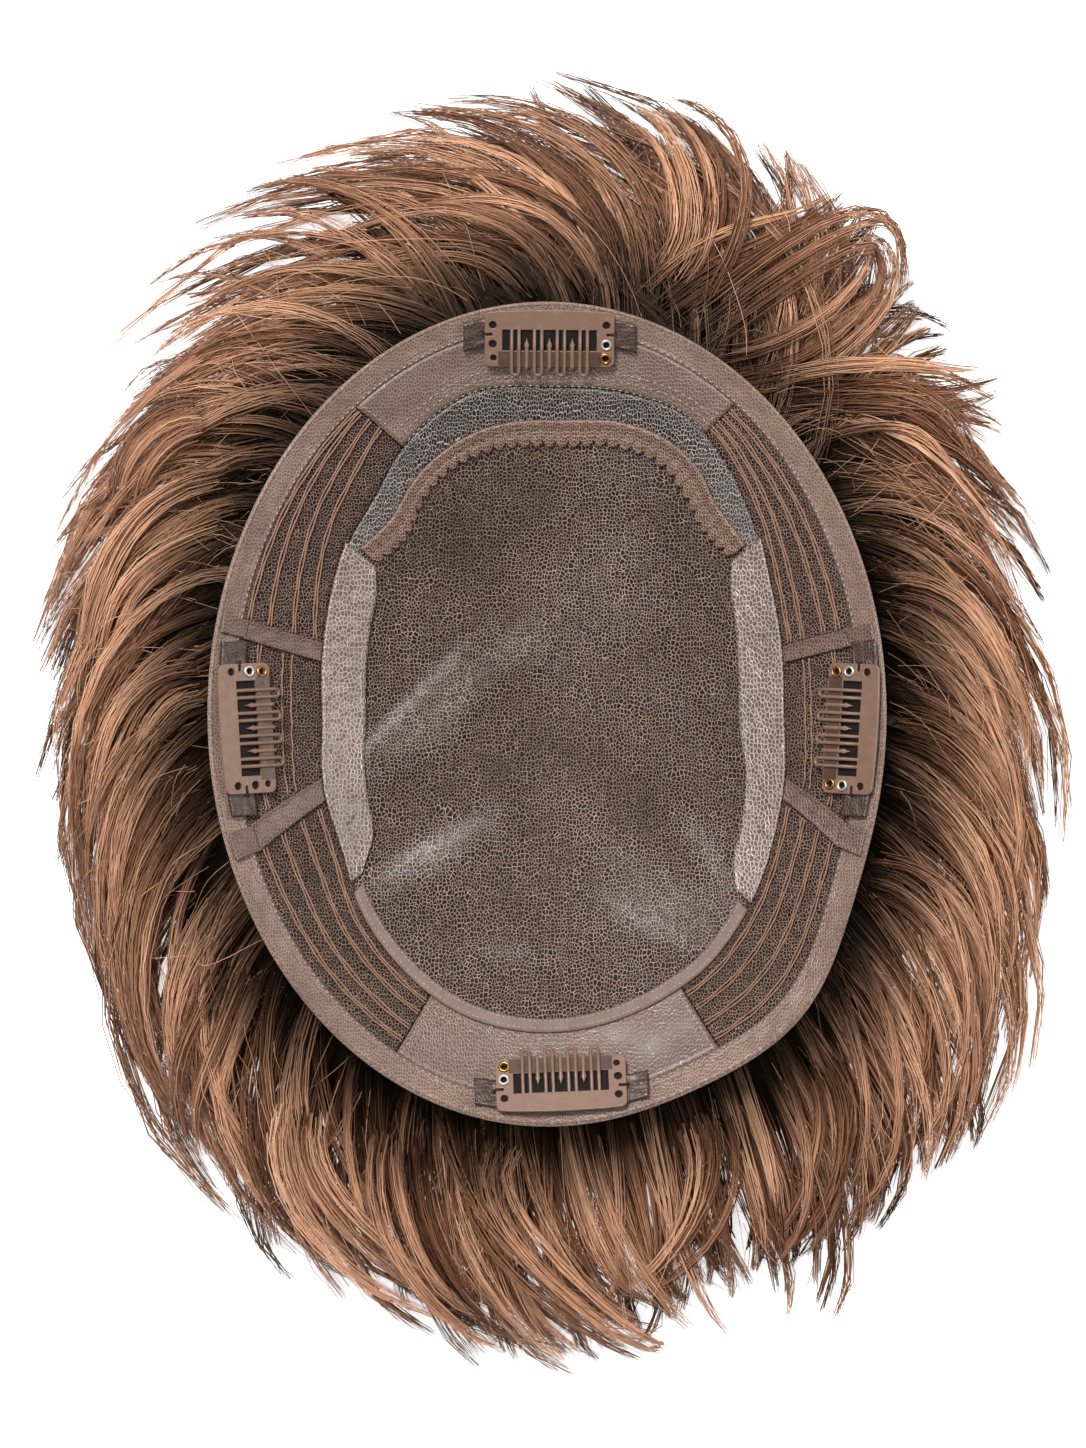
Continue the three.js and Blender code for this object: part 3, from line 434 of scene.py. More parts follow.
def ripple(x: np.ndarray, y: np.ndarray, length: float, seed: int) -> np.ndarray:
    """Soft uneven waves between about -1 and 1.

    Args:
        x: places to the right in millimetres.
        y: places to the front.
        length: the usual wave length in millimetres.
        seed: which waves.

    Returns:
        The height of the waves at each place.
    """
    rng = np.random.default_rng(seed)
    waves = 7
    total = np.zeros_like(np.asarray(x, float))
    for _ in range(waves):
        turn = rng.uniform(0, 2 * math.pi)
        stretch = 2 * math.pi / (length * rng.uniform(0.6, 1.7))
        along = x * math.cos(turn) + y * math.sin(turn)
        total = total + np.sin(along * stretch + rng.uniform(0, 2 * math.pi))
    return total / math.sqrt(waves)


# Materials


def linear(red: int, green: int, blue: int) -> Colour:
    """Returns a linear colour from 0-255 screen values."""

    def channel(value: int) -> float:
        """Returns one channel made linear."""
        share = value / 255
        return share / 12.92 if share <= 0.04045 else ((share + 0.055) / 1.055) ** 2.4

    return channel(red), channel(green), channel(blue)


class NodeBench:
    """A short way to add and link nodes in one tree."""

    def __init__(self, tree: bpy.types.NodeTree) -> None:
        """Keeps the tree that nodes are added to."""
        self.tree = tree

    def add(self, kind: str, **settings: object) -> bpy.types.Node:
        """Adds a node and sets its options.

        Args:
            kind: the node's type name.
            **settings: attributes of the node.

        Returns:
            The new node.
        """
        node = self.tree.nodes.new(kind)
        for key, value in settings.items():
            setattr(node, key, value)
        return node

    def join(self, source: bpy.types.NodeSocket, *targets: bpy.types.NodeSocket) -> None:
        """Links one output to each of the inputs."""
        for target in targets:
            self.tree.links.new(source, target)

    def feed(self, slot: bpy.types.NodeSocket, value: object) -> None:
        """Gives an input a socket, a colour or a number."""
        if isinstance(value, bpy.types.NodeSocket):
            self.join(value, slot)
        elif isinstance(value, tuple):
            slot.default_value = (*value, 1.0)
        else:
            slot.default_value = value

    def math(self, operation: str, first: object, second: object) -> bpy.types.NodeSocket:
        """Adds a Math node.

        Args:
            operation: the node's operation.
            first: a socket or a number.
            second: a socket or a number.

        Returns:
            The result's socket.
        """
        node = self.add("ShaderNodeMath", operation=operation)
        for slot, value in zip(node.inputs, (first, second)):
            self.feed(slot, value)
        return node.outputs[0]

    def mix(self, share: object, first: object, second: object) -> bpy.types.NodeSocket:
        """Adds a colour Mix node.

        Args:
            share: a socket or a number, how much of the second shows.
            first: a socket or a colour.
            second: a socket or a colour.

        Returns:
            The colour's socket.
        """
        node = self.add("ShaderNodeMix", data_type="RGBA")
        for slot, value in ((node.inputs[0], share), (node.inputs[6], first), (node.inputs[7], second)):
            self.feed(slot, value)
        return node.outputs[2]

    def noise(self, place: bpy.types.NodeSocket, scale: object, detail: float) -> bpy.types.Node:
        """Adds a Noise Texture node.

        Args:
            place: the coordinates.
            scale: a socket or a number.
            detail: number of finer layers.

        Returns:
            The new node.
        """
        node = self.add("ShaderNodeTexNoise")
        for label, value in (("Vector", place), ("Scale", scale), ("Detail", detail)):
            self.feed(node.inputs[label], value)
        return node

    def span(
        self, value: bpy.types.NodeSocket, low: float, high: float, to_low: float, to_high: float
    ) -> bpy.types.NodeSocket:
        """Maps a value from one range to another.

        Args:
            value: the socket to map.
            low: start of its range.
            high: end of its range.
            to_low: what the start becomes.
            to_high: what the end becomes.

        Returns:
            The mapped value's socket.
        """
        node = self.add("ShaderNodeMapRange")
        self.join(value, node.inputs["Value"])
        for slot, number in zip(("From Min", "From Max", "To Min", "To Max"), (low, high, to_low, to_high)):
            node.inputs[slot].default_value = number
        return node.outputs[0]


def shader_group(
    name: str,
    inputs: Sequence[tuple[str, str, object]],
    outputs: Sequence[tuple[str, str]],
) -> tuple[bpy.types.NodeTree, NodeBench, bpy.types.Node, bpy.types.Node]:
    """Starts a shader node group with named sockets.

    Args:
        name: the group's name.
        inputs: name, socket kind and starting value of each input.
        outputs: name and socket kind of each output.

    Returns:
        The tree, a bench for it, and its input and output nodes.
    """
    tree = bpy.data.node_groups.new(name, "ShaderNodeTree")
    for label, kind, value in inputs:
        socket = tree.interface.new_socket(label, in_out="INPUT", socket_type=kind)
        if value is not None:
            socket.default_value = value
    for label, kind in outputs:
        tree.interface.new_socket(label, in_out="OUTPUT", socket_type=kind)
    bench = NodeBench(tree)
    return tree, bench, bench.add("NodeGroupInput"), bench.add("NodeGroupOutput")


class SharedEffects:
    """Shader groups that more than one finish uses."""

    def __init__(self) -> None:
        """Builds each group once."""
        self.threads = self._net_threads()
        self.mottle = self._mottle()
        self.grain = self._thread_grain()

    @staticmethod
    def _net_threads() -> bpy.types.NodeTree:
        """Winding net threads over a dark ground, drawn out along one way and set in faint rows."""
        tree, bench, start, end = shader_group(
            "net_threads",
            (
                ("Vector", "NodeSocketVector", None),
                ("Scale", "NodeSocketFloat", 1600.0),
                ("Warp", "NodeSocketFloat", 0.0006),
                ("Stretch", "NodeSocketFloat", 0.6),
                ("Rows", "NodeSocketFloat", 0.05),
                ("Level", "NodeSocketFloat", 0.11),
            ),
            (("Thread", "NodeSocketFloat"), ("Height", "NodeSocketFloat")),
        )
        warp = bench.noise(start.outputs["Vector"], 130.0, 2.0)
        centred = bench.add("ShaderNodeVectorMath", operation="SUBTRACT")
        centred.inputs[1].default_value = (0.5, 0.5, 0.5)
        bench.join(warp.outputs["Color"], centred.inputs[0])
        scaled = bench.add("ShaderNodeVectorMath", operation="SCALE")
        bench.join(centred.outputs[0], scaled.inputs[0])
        bench.join(start.outputs["Warp"], scaled.inputs["Scale"])
        moved = bench.add("ShaderNodeVectorMath", operation="ADD")
        bench.join(start.outputs["Vector"], moved.inputs[0])
        bench.join(scaled.outputs[0], moved.inputs[1])
        parts = bench.add("ShaderNodeSeparateXYZ")
        bench.join(moved.outputs[0], parts.inputs[0])
        longer = bench.math("MULTIPLY", parts.outputs["Y"], start.outputs["Stretch"])
        flat = bench.add("ShaderNodeCombineXYZ")
        bench.join(parts.outputs["X"], flat.inputs["X"])
        bench.join(longer, flat.inputs["Y"])
        cells = bench.add("ShaderNodeTexVoronoi", feature="DISTANCE_TO_EDGE", voronoi_dimensions="2D")
        cells.inputs["Randomness"].default_value = 0.85
        bench.join(flat.outputs[0], cells.inputs["Vector"])
        bench.join(start.outputs["Scale"], cells.inputs["Scale"])
        rows = bench.add("ShaderNodeTexWave", bands_direction="X", wave_profile="SIN")
        rows.inputs["Scale"].default_value = 130.0
        bench.join(moved.outputs[0], rows.inputs["Vector"])
        bias = bench.math("MULTIPLY", bench.math("SUBTRACT", 0.5, rows.outputs["Fac"]), start.outputs["Rows"])
        distance = bench.math("ADD", cells.outputs["Distance"], bias)
        value = bench.math("SUBTRACT", distance, start.outputs["Level"])
        bench.join(bench.span(value, -0.06, 0.05, 1.0, 0.0), end.inputs["Thread"])
        bench.join(bench.span(value, -0.14, 0.12, 1.0, 0.0), end.inputs["Height"])
        return tree

    @staticmethod
    def _mottle() -> bpy.types.NodeTree:
        """Uneven tone between a darker and a lighter share of one colour."""
        tree, bench, start, end = shader_group(
            "uneven_tone",
            (
                ("Vector", "NodeSocketVector", None),
                ("Colour", "NodeSocketColor", (0.5, 0.5, 0.5, 1.0)),
                ("Scale", "NodeSocketFloat", 60.0),
                ("Strength", "NodeSocketFloat", 0.3),
            ),
            (("Colour", "NodeSocketColor"), ("Tone", "NodeSocketFloat")),
        )
        noise = bench.noise(start.outputs["Vector"], start.outputs["Scale"], 5.0)
        noise.inputs["Roughness"].default_value = 0.6
        tone = bench.span(noise.outputs["Fac"], 0.3, 0.7, -1.0, 1.0)
        change = bench.math("MULTIPLY", tone, start.outputs["Strength"])
        factor = bench.math("ADD", change, 1.0)
        grey = bench.add("ShaderNodeCombineXYZ")
        for axis in "XYZ":
            bench.join(factor, grey.inputs[axis])
        scaled = bench.add("ShaderNodeVectorMath", operation="MULTIPLY")
        bench.join(start.outputs["Colour"], scaled.inputs[0])
        bench.join(grey.outputs[0], scaled.inputs[1])
        bench.join(scaled.outputs[0], end.inputs["Colour"])
        bench.join(tone, end.inputs["Tone"])
        return tree

    @staticmethod
    def _thread_grain() -> bpy.types.NodeTree:
        """The over and under of a fine plain weave."""
        tree, bench, start, end = shader_group(
            "weave_grain",
            (("Vector", "NodeSocketVector", None), ("Threads", "NodeSocketFloat", 2500.0)),
            (("Height", "NodeSocketFloat"),),
        )
        waves = []
        for axis in ("X", "Y"):
            wave = bench.add("ShaderNodeTexWave", bands_direction=axis, wave_profile="SIN")
            wave.inputs["Distortion"].default_value = 1.2
            wave.inputs["Detail"].default_value = 1.0
            bench.join(start.outputs["Vector"], wave.inputs["Vector"])
            bench.join(start.outputs["Threads"], wave.inputs["Scale"])
            waves.append(wave.outputs["Fac"])
        bench.join(bench.math("MULTIPLY", waves[0], waves[1]), end.inputs["Height"])
        return tree


@dataclass(frozen=True)
class Surface:
    """What the shader of a finish is told directly."""

    roughness: float = 0.5
    metallic: float = 0.0
    specular: float = 0.5
    coat: float = 0.0


def new_material(name: str, surface: Surface) -> tuple[bpy.types.Material, NodeBench, bpy.types.Node]:
    """Starts a material with its shader.

    Args:
        name: the material's name.
        surface: values set on the shader itself.

    Returns:
        The material, a bench for its tree, and its shader node.
    """
    material = bpy.data.materials.new(name)
    material.use_nodes = True
    bench = NodeBench(material.node_tree)
    shader = material.node_tree.nodes["Principled BSDF"]
    shader.inputs["Roughness"].default_value = surface.roughness
    shader.inputs["Metallic"].default_value = surface.metallic
    shader.inputs["Specular IOR Level"].default_value = surface.specular
    shader.inputs["Coat Weight"].default_value = surface.coat
    shader.inputs["Coat Roughness"].default_value = 0.25
    return material, bench, shader


def place_group(bench: NodeBench, tree: bpy.types.NodeTree, **values: object) -> bpy.types.Node:
    """Places a shader group and sets or links its inputs.

    Args:
        bench: the bench of the material's tree.
        tree: the group.
        **values: a socket or a value for each named input.

    Returns:
        The group's node.
    """
    node = bench.add("ShaderNodeGroup", node_tree=tree)
    for label, value in values.items():
        bench.feed(node.inputs[label], value)
    return node


def add_bump(bench: NodeBench, shader: bpy.types.Node, height: bpy.types.NodeSocket, depth: float) -> None:
    """Links a height to the shader's normal.

    Args:
        bench: the bench of the material's tree.
        shader: the shader node.
        height: the height from 0 to 1.
        depth: how deep it is in millimetres.
    """
    bump = bench.add("ShaderNodeBump")
    bump.inputs["Distance"].default_value = depth * MM
    bench.join(height, bump.inputs["Height"])
    bench.join(bump.outputs["Normal"], shader.inputs["Normal"])


@dataclass(frozen=True)
class NetFinish:
    """Fine net: light threads over a dark ground, with painted highlight and painted shade from a value of the
    mesh.
    """

    name: str
    ground: Colour
    thread: Colour
    # colour that the painted highlight mixes towards
    light: Colour = (0.72, 0.65, 0.61)
    cell: float = 0.62
    stretch: float = 0.6
    warp: float = 2.4
    rows: float = 0.06
    level: float = 0.11
    roughness: float = 0.42
    coat: float = 0.0
    depth: float = 0.3
    uneven: float = 0.18

    def build(self, effects: SharedEffects) -> bpy.types.Material:
        """Returns the material."""
        surface = Surface(roughness=self.roughness, specular=0.35, coat=self.coat)
        material, bench, shader = new_material(self.name, surface)
        place = bench.add("ShaderNodeTexCoord").outputs["Object"]
        net = place_group(
            bench,
            effects.threads,
            Vector=place,
            Scale=1 / (self.cell * MM),
            Warp=self.warp * MM,
            Stretch=self.stretch,
            Rows=self.rows,
            Level=self.level,
        )
        threads = place_group(
            bench, effects.mottle, Vector=place, Colour=self.thread, Scale=45.0, Strength=self.uneven
        )
        fine = place_group(bench, effects.mottle, Vector=place, Colour=threads.outputs["Colour"], Scale=500.0)
        # Painted highlight: above zero the threads and the ground are mixed towards the light colour in broken
        # glints; below zero the colour is mixed towards the ground as painted shade.
        sheen = bench.add("ShaderNodeAttribute", attribute_name="sheen").outputs["Fac"]
        glints = bench.noise(place, 520.0, 2.0)
        gleam = bench.math("MULTIPLY", sheen, bench.span(glints.outputs["Fac"], 0.34, 0.68, 0.3, 0.85))
        lighter = bench.mix(bench.span(gleam, 0.0, 1.1, 0.0, 1.0), fine.outputs["Colour"], self.light)
        ground = bench.mix(bench.span(gleam, 0.1, 1.2, 0.0, 0.3), self.ground, self.light)
        colour = bench.mix(net.outputs["Thread"], ground, lighter)
        shown = bench.mix(bench.span(sheen, -0.7, 0.0, 0.5, 0.0), colour, self.ground)
        bench.join(shown, shader.inputs["Base Color"])
        rough = bench.span(net.outputs["Thread"], 0.0, 1.0, self.roughness + 0.3, self.roughness)
        bench.join(rough, shader.inputs["Roughness"])
        add_bump(bench, shader, net.outputs["Height"], self.depth)
        return material


@dataclass(frozen=True)
class CoatedFinish:
    """Thin cloth under a clear coat, with a faint net and small wrinkles."""

    name: str
    colour: Colour
    dark: Colour
    net_share: float = 0.35
    cell: float = 0.8
    stretch: float = 0.7
    roughness: float = 0.4
    coat: float = 0.2
    wrinkle: float = 0.12
    uneven: float = 0.18
    blotch: float = 70.0

    def build(self, effects: SharedEffects) -> bpy.types.Material:
        """Returns the material."""
        surface = Surface(roughness=self.roughness, specular=0.55, coat=self.coat)
        material, bench, shader = new_material(self.name, surface)
        place = bench.add("ShaderNodeTexCoord").outputs["Object"]
        net = place_group(
            bench, effects.threads, Vector=place, Scale=1 / (self.cell * MM), Stretch=self.stretch, Rows=0.0
        )
        tone = place_group(
            bench, effects.mottle, Vector=place, Colour=self.colour, Scale=self.blotch, Strength=self.uneven
        )
        holes = bench.math("SUBTRACT", 1.0, net.outputs["Thread"])
        share = bench.math("MULTIPLY", holes, self.net_share)
        colour = bench.mix(share, tone.outputs["Colour"], self.dark)
        bench.join(colour, shader.inputs["Base Color"])
        creases = bench.noise(place, 420.0, 4.0)
        height = bench.math("ADD", creases.outputs["Fac"], bench.math("MULTIPLY", net.outputs["Height"], 0.5))
        add_bump(bench, shader, height, self.wrinkle)
        rough = bench.span(creases.outputs["Fac"], 0.3, 0.7, self.roughness - 0.12, self.roughness + 0.15)
        bench.join(rough, shader.inputs["Roughness"])
        return material


@dataclass(frozen=True)
class WovenFinish:
    """Woven tape or thread."""

    name: str
    colour: Colour
    dark: Colour
    threads: float = 1400.0
    roughness: float = 0.6
    depth: float = 0.12
    uneven: float = 0.2

    def build(self, effects: SharedEffects) -> bpy.types.Material:
        """Returns the material."""
        material, bench, shader = new_material(self.name, Surface(roughness=self.roughness, specular=0.4))
        place = bench.add("ShaderNodeTexCoord").outputs["Object"]
        weave = place_group(bench, effects.grain, Vector=place, Threads=self.threads)
        tone = place_group(
            bench, effects.mottle, Vector=place, Colour=self.colour, Scale=260.0, Strength=self.uneven
        )
        share = bench.span(weave.outputs["Height"], 0.1, 0.6, 0.75, 0.0)
        bench.join(bench.mix(share, tone.outputs["Colour"], self.dark), shader.inputs["Base Color"])
        add_bump(bench, shader, weave.outputs["Height"], self.depth)
        return material


@dataclass(frozen=True)
class MetalFinish:
    """Bare or coated metal with worn, lighter patches."""

    name: str
    colour: Colour
    worn: Colour
    roughness: float = 0.35
    metallic: float = 1.0
    coat: float = 0.0
    grain: float = 0.02

    def build(self, effects: SharedEffects) -> bpy.types.Material:
        """Returns the material."""
        surface = Surface(roughness=self.roughness, metallic=self.metallic, coat=self.coat)
        material, bench, shader = new_material(self.name, surface)
        place = bench.add("ShaderNodeTexCoord").outputs["Object"]
        tone = place_group(bench, effects.mottle, Vector=place, Colour=self.colour, Scale=400.0, Strength=0.1)
        spots = bench.span(tone.outputs["Tone"], 0.55, 1.0, 0.0, 0.6)
        bench.join(bench.mix(spots, tone.outputs["Colour"], self.worn), shader.inputs["Base Color"])
        fine = bench.noise(place, 1500.0, 3.0)
        rough = bench.span(fine.outputs["Fac"], 0.3, 0.7, self.roughness - 0.08, self.roughness + 0.1)
        bench.join(rough, shader.inputs["Roughness"])
        add_bump(bench, shader, fine.outputs["Fac"], self.grain)
        return material


@dataclass(frozen=True)
class HairFinish:
    """Hair: each strand has a tone of its own, and a painted shadow from its depth value darkens it, most at the
    roots by the rim, so that it runs lighter towards the tips.
    """

    name: str
    shadow: Colour
    dark: Colour
    middle: Colour
    light: Colour
    roughness: float = 0.38

    def build(self, effects: SharedEffects) -> bpy.types.Material:
        """Returns the material."""
        material, bench, shader = new_material(self.name, Surface(roughness=self.roughness, specular=0.3))
        shader.inputs["Specular Tint"].default_value = (1.0, 0.76, 0.56, 1.0)
        place = bench.add("ShaderNodeTexCoord").outputs["Object"]
        tone = bench.add("ShaderNodeAttribute", attribute_name="tone").outputs["Fac"]
        depth = bench.add("ShaderNodeAttribute", attribute_name="depth").outputs["Fac"]
        lower = bench.mix(bench.span(tone, 0.0, 0.5, 0.0, 1.0), self.dark, self.middle)
        colour = bench.mix(bench.span(tone, 0.5, 1.0, 0.0, 1.0), lower, self.light)
        # Painted shadow: the depth value mixes the colour towards the shadow colour.
        shaded = bench.mix(depth, colour, self.shadow)
        streak = place_group(bench, effects.mottle, Vector=place, Colour=shaded, Scale=150.0, Strength=0.1)
        bench.join(streak.outputs["Colour"], shader.inputs["Base Color"])
        return material


@dataclass
class Workshop:
    """Holds what every piece needs: the base's form, the shared effects and the finished materials."""

    form: BaseForm
    effects: SharedEffects
    made: dict[str, bpy.types.Material] = field(default_factory=dict)
    triangles: int = 0

    def material(self, finish: object) -> bpy.types.Material:
        """Returns the material of a finish, built once."""
        if finish.name not in self.made:
            self.made[finish.name] = finish.build(self.effects)
        return self.made[finish.name]

    def dress(self, made: bpy.types.Object, finish: object, slot: str, *nodes: str) -> None:
        """Gives a piece its finish and its place in the frame.

        Args:
            made: the piece.
            finish: its finish.
            slot: not used.
            *nodes: names of the CAD nodes that it stands for.
        """
        made.data.materials.clear()
        made.data.materials.append(self.material(finish))
        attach(made, BODY)
        if nodes:
            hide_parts(*nodes)
        triangles = len(made.data.loops) - 2 * len(made.data.polygons)
        self.triangles += triangles
        log.info("%s: %d triangles", made.name, triangles)


# Finishes


NET = NetFinish(
    "net_cloth", linear(22, 13, 10), linear(178, 147, 130), cell=0.82, stretch=0.84, level=0.095, rows=0.02,
    warp=3.2, depth=0.25,
)
LACE = NetFinish(
    "front_lace_cloth", linear(22, 15, 13), linear(190, 174, 165), cell=0.68, stretch=0.62, rows=0.0,
    warp=3.2, roughness=0.28, coat=0.2, level=0.1,
)
STRETCH = NetFinish(
    "stretch_cloth", linear(16, 9, 6), linear(172, 140, 121), cell=0.72, stretch=0.85, rows=0.0, level=0.1
)
SMOOTH = CoatedFinish(
    "smooth_cloth", linear(148, 124, 112), linear(74, 56, 48), net_share=0.75, cell=0.7, uneven=0.24,
    blotch=38.0, coat=0.2,
)
EDGE = CoatedFinish(
    "edge_cloth", linear(166, 139, 125), linear(80, 60, 50), net_share=0.7, cell=0.62, uneven=0.26,
    blotch=60.0,
)
BAND = CoatedFinish(
    "band_film", linear(182, 161, 150), linear(66, 50, 44), net_share=0.8, cell=0.88, roughness=0.32,
    coat=0.4, wrinkle=0.18, uneven=0.26,
)
RIBBON = CoatedFinish(
    "ribbon_cloth", linear(166, 133, 115), linear(74, 52, 42), net_share=0.95, cell=0.6, wrinkle=0.15
)
BACK_RIBBON = WovenFinish("back_ribbon_weave", linear(178, 156, 144), linear(120, 98, 88))
STRAP = CoatedFinish("strap_cloth", linear(138, 110, 98), linear(66, 47, 39), net_share=0.8, cell=0.7)
RIB = WovenFinish("rib_thread", linear(214, 172, 146), linear(156, 112, 88), threads=2200.0)
TAPE = CoatedFinish("tape_cloth", linear(92, 69, 59), linear(44, 30, 25), net_share=0.8, cell=0.7)
# Near-black sheet under each clip: painted shade seen through its window and holes.
SHADE = WovenFinish("clip_shade_cloth", linear(30, 20, 16), linear(14, 9, 7))
LIGHT_THREAD = WovenFinish(
    "light_thread", linear(250, 236, 226), linear(216, 192, 178), threads=3000.0, roughness=0.4
)
TAN_THREAD = WovenFinish("tan_thread", linear(196, 160, 140), linear(146, 112, 94), threads=3000.0)
BEAD_THREAD = WovenFinish("bead_thread", linear(176, 124, 96), linear(104, 66, 48), threads=3000.0)
DARK_THREAD = WovenFinish("dark_thread", linear(92, 64, 52), linear(40, 26, 20), threads=3000.0)
COATED = MetalFinish(
    "coated_steel", linear(131, 101, 84), linear(152, 121, 103), roughness=0.42, metallic=0.1, coat=0.1,
    grain=0.006,
)
# A darker copy of the coated steel for the clip's bar under the loops: painted shade.
SHADED_BAR = MetalFinish("coated_bar", linear(84, 61, 49), linear(104, 79, 65), metallic=0.1, grain=0.006)
STEEL = MetalFinish(
    "bright_steel", linear(214, 206, 200), linear(236, 232, 228), roughness=0.34, metallic=0.7, grain=0.002
)
BRASS = MetalFinish("yellow_brass", linear(190, 140, 78), linear(214, 172, 110), roughness=0.34, grain=0.002)
HAIR = HairFinish(
    "hair_strands", linear(5, 2, 1), linear(36, 18, 10), linear(152, 105, 78), linear(240, 188, 152),
    roughness=0.4,
)
# Near-black hair colours for the mass between the locks: painted shade.
HAIR_MASS = HairFinish(
    "hair_shadow", linear(10, 5, 3), linear(18, 10, 7), linear(30, 18, 12), linear(44, 28, 20), roughness=0.9
)


# Cloth pieces


@dataclass(frozen=True)
class Line:
    """A line across the field: its angle and width at the oval frame and at the edge band."""

    inner: float
    outer: float
    inner_width: float = 0.0
    outer_width: float = 0.0

    def moved(self, form: BaseForm, inner_shift: float, outer_shift: Optional[float] = None) -> "Line":
        """Returns the line moved sideways.

        Args:
            form: the base.
            inner_shift: length at the oval frame.
            outer_shift: length at the edge band, or None for the same.
        """
        far = inner_shift if outer_shift is None else outer_shift

        def turned(angle: float, shift: float, edge: Edge) -> float:
            """Returns an angle moved on by a length."""
            return angle + math.degrees(shift / (form.rim_radius(angle) * edge(angle)))

        return Line(turned(self.inner, inner_shift, form.outline), turned(self.outer, far, form.band_inner))

    def after(self, before: "Line") -> "Line":
        """Returns the line written so that it follows another one counter-clockwise."""
        turns = math.ceil((before.inner - self.inner) / TURN) * TURN
        return Line(self.inner + turns, self.outer + turns, self.inner_width, self.outer_width)

    @classmethod
    def radial(cls, angle: float) -> "Line":
        """Returns a line that runs straight outwards."""
        return cls(angle, angle)

    @property
    def half(self) -> float:
        """Half of the line's widest place."""
        return max(self.inner_width, self.outer_width) / 2


TAB_FRONT_RIGHT = Line(60.2, 58.6)
TAB_FRONT_LEFT = Line(118.7, 122.2)
TAB_BACK_LEFT = Line(247.5, 246)
TAB_BACK_RIGHT = Line(296.1, 297.2)
STRAPS = {
    "front_right": Line(13.7, 13.9, 3.9, 4.4),
    "front_left": Line(165.2, 164.7, 4.4, 4.7),
    "back_left": Line(199, 203.2, 5.4, 7),
    "back_right": Line(-17.7, -22.4, 5.1, 6.6),
}
STRETCH_PANELS = {
    "front_left": (TAB_FRONT_LEFT, STRAPS["front_left"]),
    "side_left": (STRAPS["front_left"], STRAPS["back_left"]),
    "back_left": (STRAPS["back_left"], TAB_BACK_LEFT),
    "back_right": (TAB_BACK_RIGHT, STRAPS["back_right"]),
    "side_right": (STRAPS["back_right"], STRAPS["front_right"]),
    "front_right": (STRAPS["front_right"], TAB_FRONT_RIGHT),
}
RIBS = (
    ("front_left", 0.9, 0.92, 0.7), ("front_left", 0.9, 0.71, 0.38), ("front_left", 0.9, 0.47, 0.1),
    ("side_left", 2.4, 0.42, 0.4), ("back_left", 0.9, 0.9, 0.83), ("back_left", 0.9, 0.63, 0.6),
    ("back_left", 0.9, 0.35, 0.33), ("back_right", 0.9, 0.36, 0.37), ("back_right", 0.9, 0.62, 0.63),
    ("back_right", 0.9, 0.88, 0.88), ("side_right", 1.7, 0.33, 0.32), ("front_right", 0.9, 0.84, 0.85),
    ("front_right", 0.9, 0.62, 0.6), ("front_right", 0.9, 0.3, 0.36),
)
FINE_CORDS = (
    ("front_left", 1.0, 0.97), ("side_left", 0.78, 0.74), ("back_left", 0.1, 0.12), ("back_right", 0.12, 0.1),
    ("side_right", 0.72, 0.72), ("front_right", 0.1, 0.14),
)
SCALLOPED_RIBBON = (
    (40, 0.678, 0.713), (45, 0.66, 0.71), (51, 0.657, 0.712), (58, 0.684, 0.742), (65, 0.705, 0.752),
    (75, 0.693, 0.739), (87, 0.664, 0.712), (102, 0.672, 0.714), (112, 0.67, 0.705), (120, 0.65, 0.688),
    (128, 0.614, 0.661), (133, 0.617, 0.664), (139, 0.64, 0.682),
)
INNER_BANDS = {
    "left": (
        (140, 0.628), (146, 0.59), (154, 0.575), (166, 0.558), (183, 0.549), (203, 0.577), (215, 0.606),
        (221, 0.68),
    ),
    "right": (
        (-43, 0.69), (-38, 0.65), (-30, 0.643), (-18, 0.62), (-3, 0.582), (14, 0.59), (27, 0.614),
        (34, 0.634), (39, 0.668),
    ),
}
BACK_RIBBON_SPAN = (223.0, 315.5)


@dataclass
class Patch:
    """Cloth between two lines across the base and two edges along it."""

    form: BaseForm
    start: Line
    end: Line
    inner: Edge
    outer: Edge
    spacing: float = 1.1
    steps: int = 0

    def grid(self) -> tuple[np.ndarray, np.ndarray, np.ndarray, np.ndarray]:
        """Returns angle and share grids, and the ways along and across as shares."""
        middle = (self.start.inner + self.end.inner) / 2
        width = float((self.outer(middle) - self.inner(middle)) * self.form.rim_radius(middle))
        length = math.radians(abs(self.end.inner - self.start.inner)) * float(
            self.form.rim_radius(middle) * self.outer(middle)
        )
        u = np.linspace(0, 1, (self.steps or max(3, round(length / self.spacing))) + 1)[:, None]
        v = np.linspace(0, 1, max(3, round(width / self.spacing)) + 1)[None, :]
        first = self.start.inner + (self.start.outer - self.start.inner) * v
        last = self.end.inner + (self.end.outer - self.end.inner) * v
        angle = first + (last - first) * u
        inner = self.inner(angle)
        place = inner + (self.outer(angle) - inner) * v
        return angle, place, u + 0 * v, v + 0 * u

    def wall(self, name: str, low: float, high: float, relief: Optional[Callable] = None) -> bpy.types.Object:
        """Makes the cloth.

        Args:
            name: the object's name.
            low: lift of its underside over the base's surface.
            high: lift of its upper side.
            relief: a function of x, y and the ways along and across that gives the upper side's own relief.

        Returns:
            The object.
        """
        angle, place, u, v = self.grid()
        under = self.form.at_share(angle, place, low)
        lift = np.full_like(angle, high)
        if relief is not None:
            lift = np.maximum(lift + relief(under[..., 0], under[..., 1], u, v), low + 0.15)
        over = self.form.at_share(angle, place, lift)
        return cloth_wall(name, under, over, self.form)


def declare_sheet(made: bpy.types.Object) -> None:
    """Reads a piece's UV map into an array; nothing more is done with it.

    Args:
        made: the piece, whose UV map holds metres.
    """
    flat = np.empty(len(made.data.loops) * 2, np.float32)
    made.data.uv_layers[0].data.foreach_get("uv", flat)
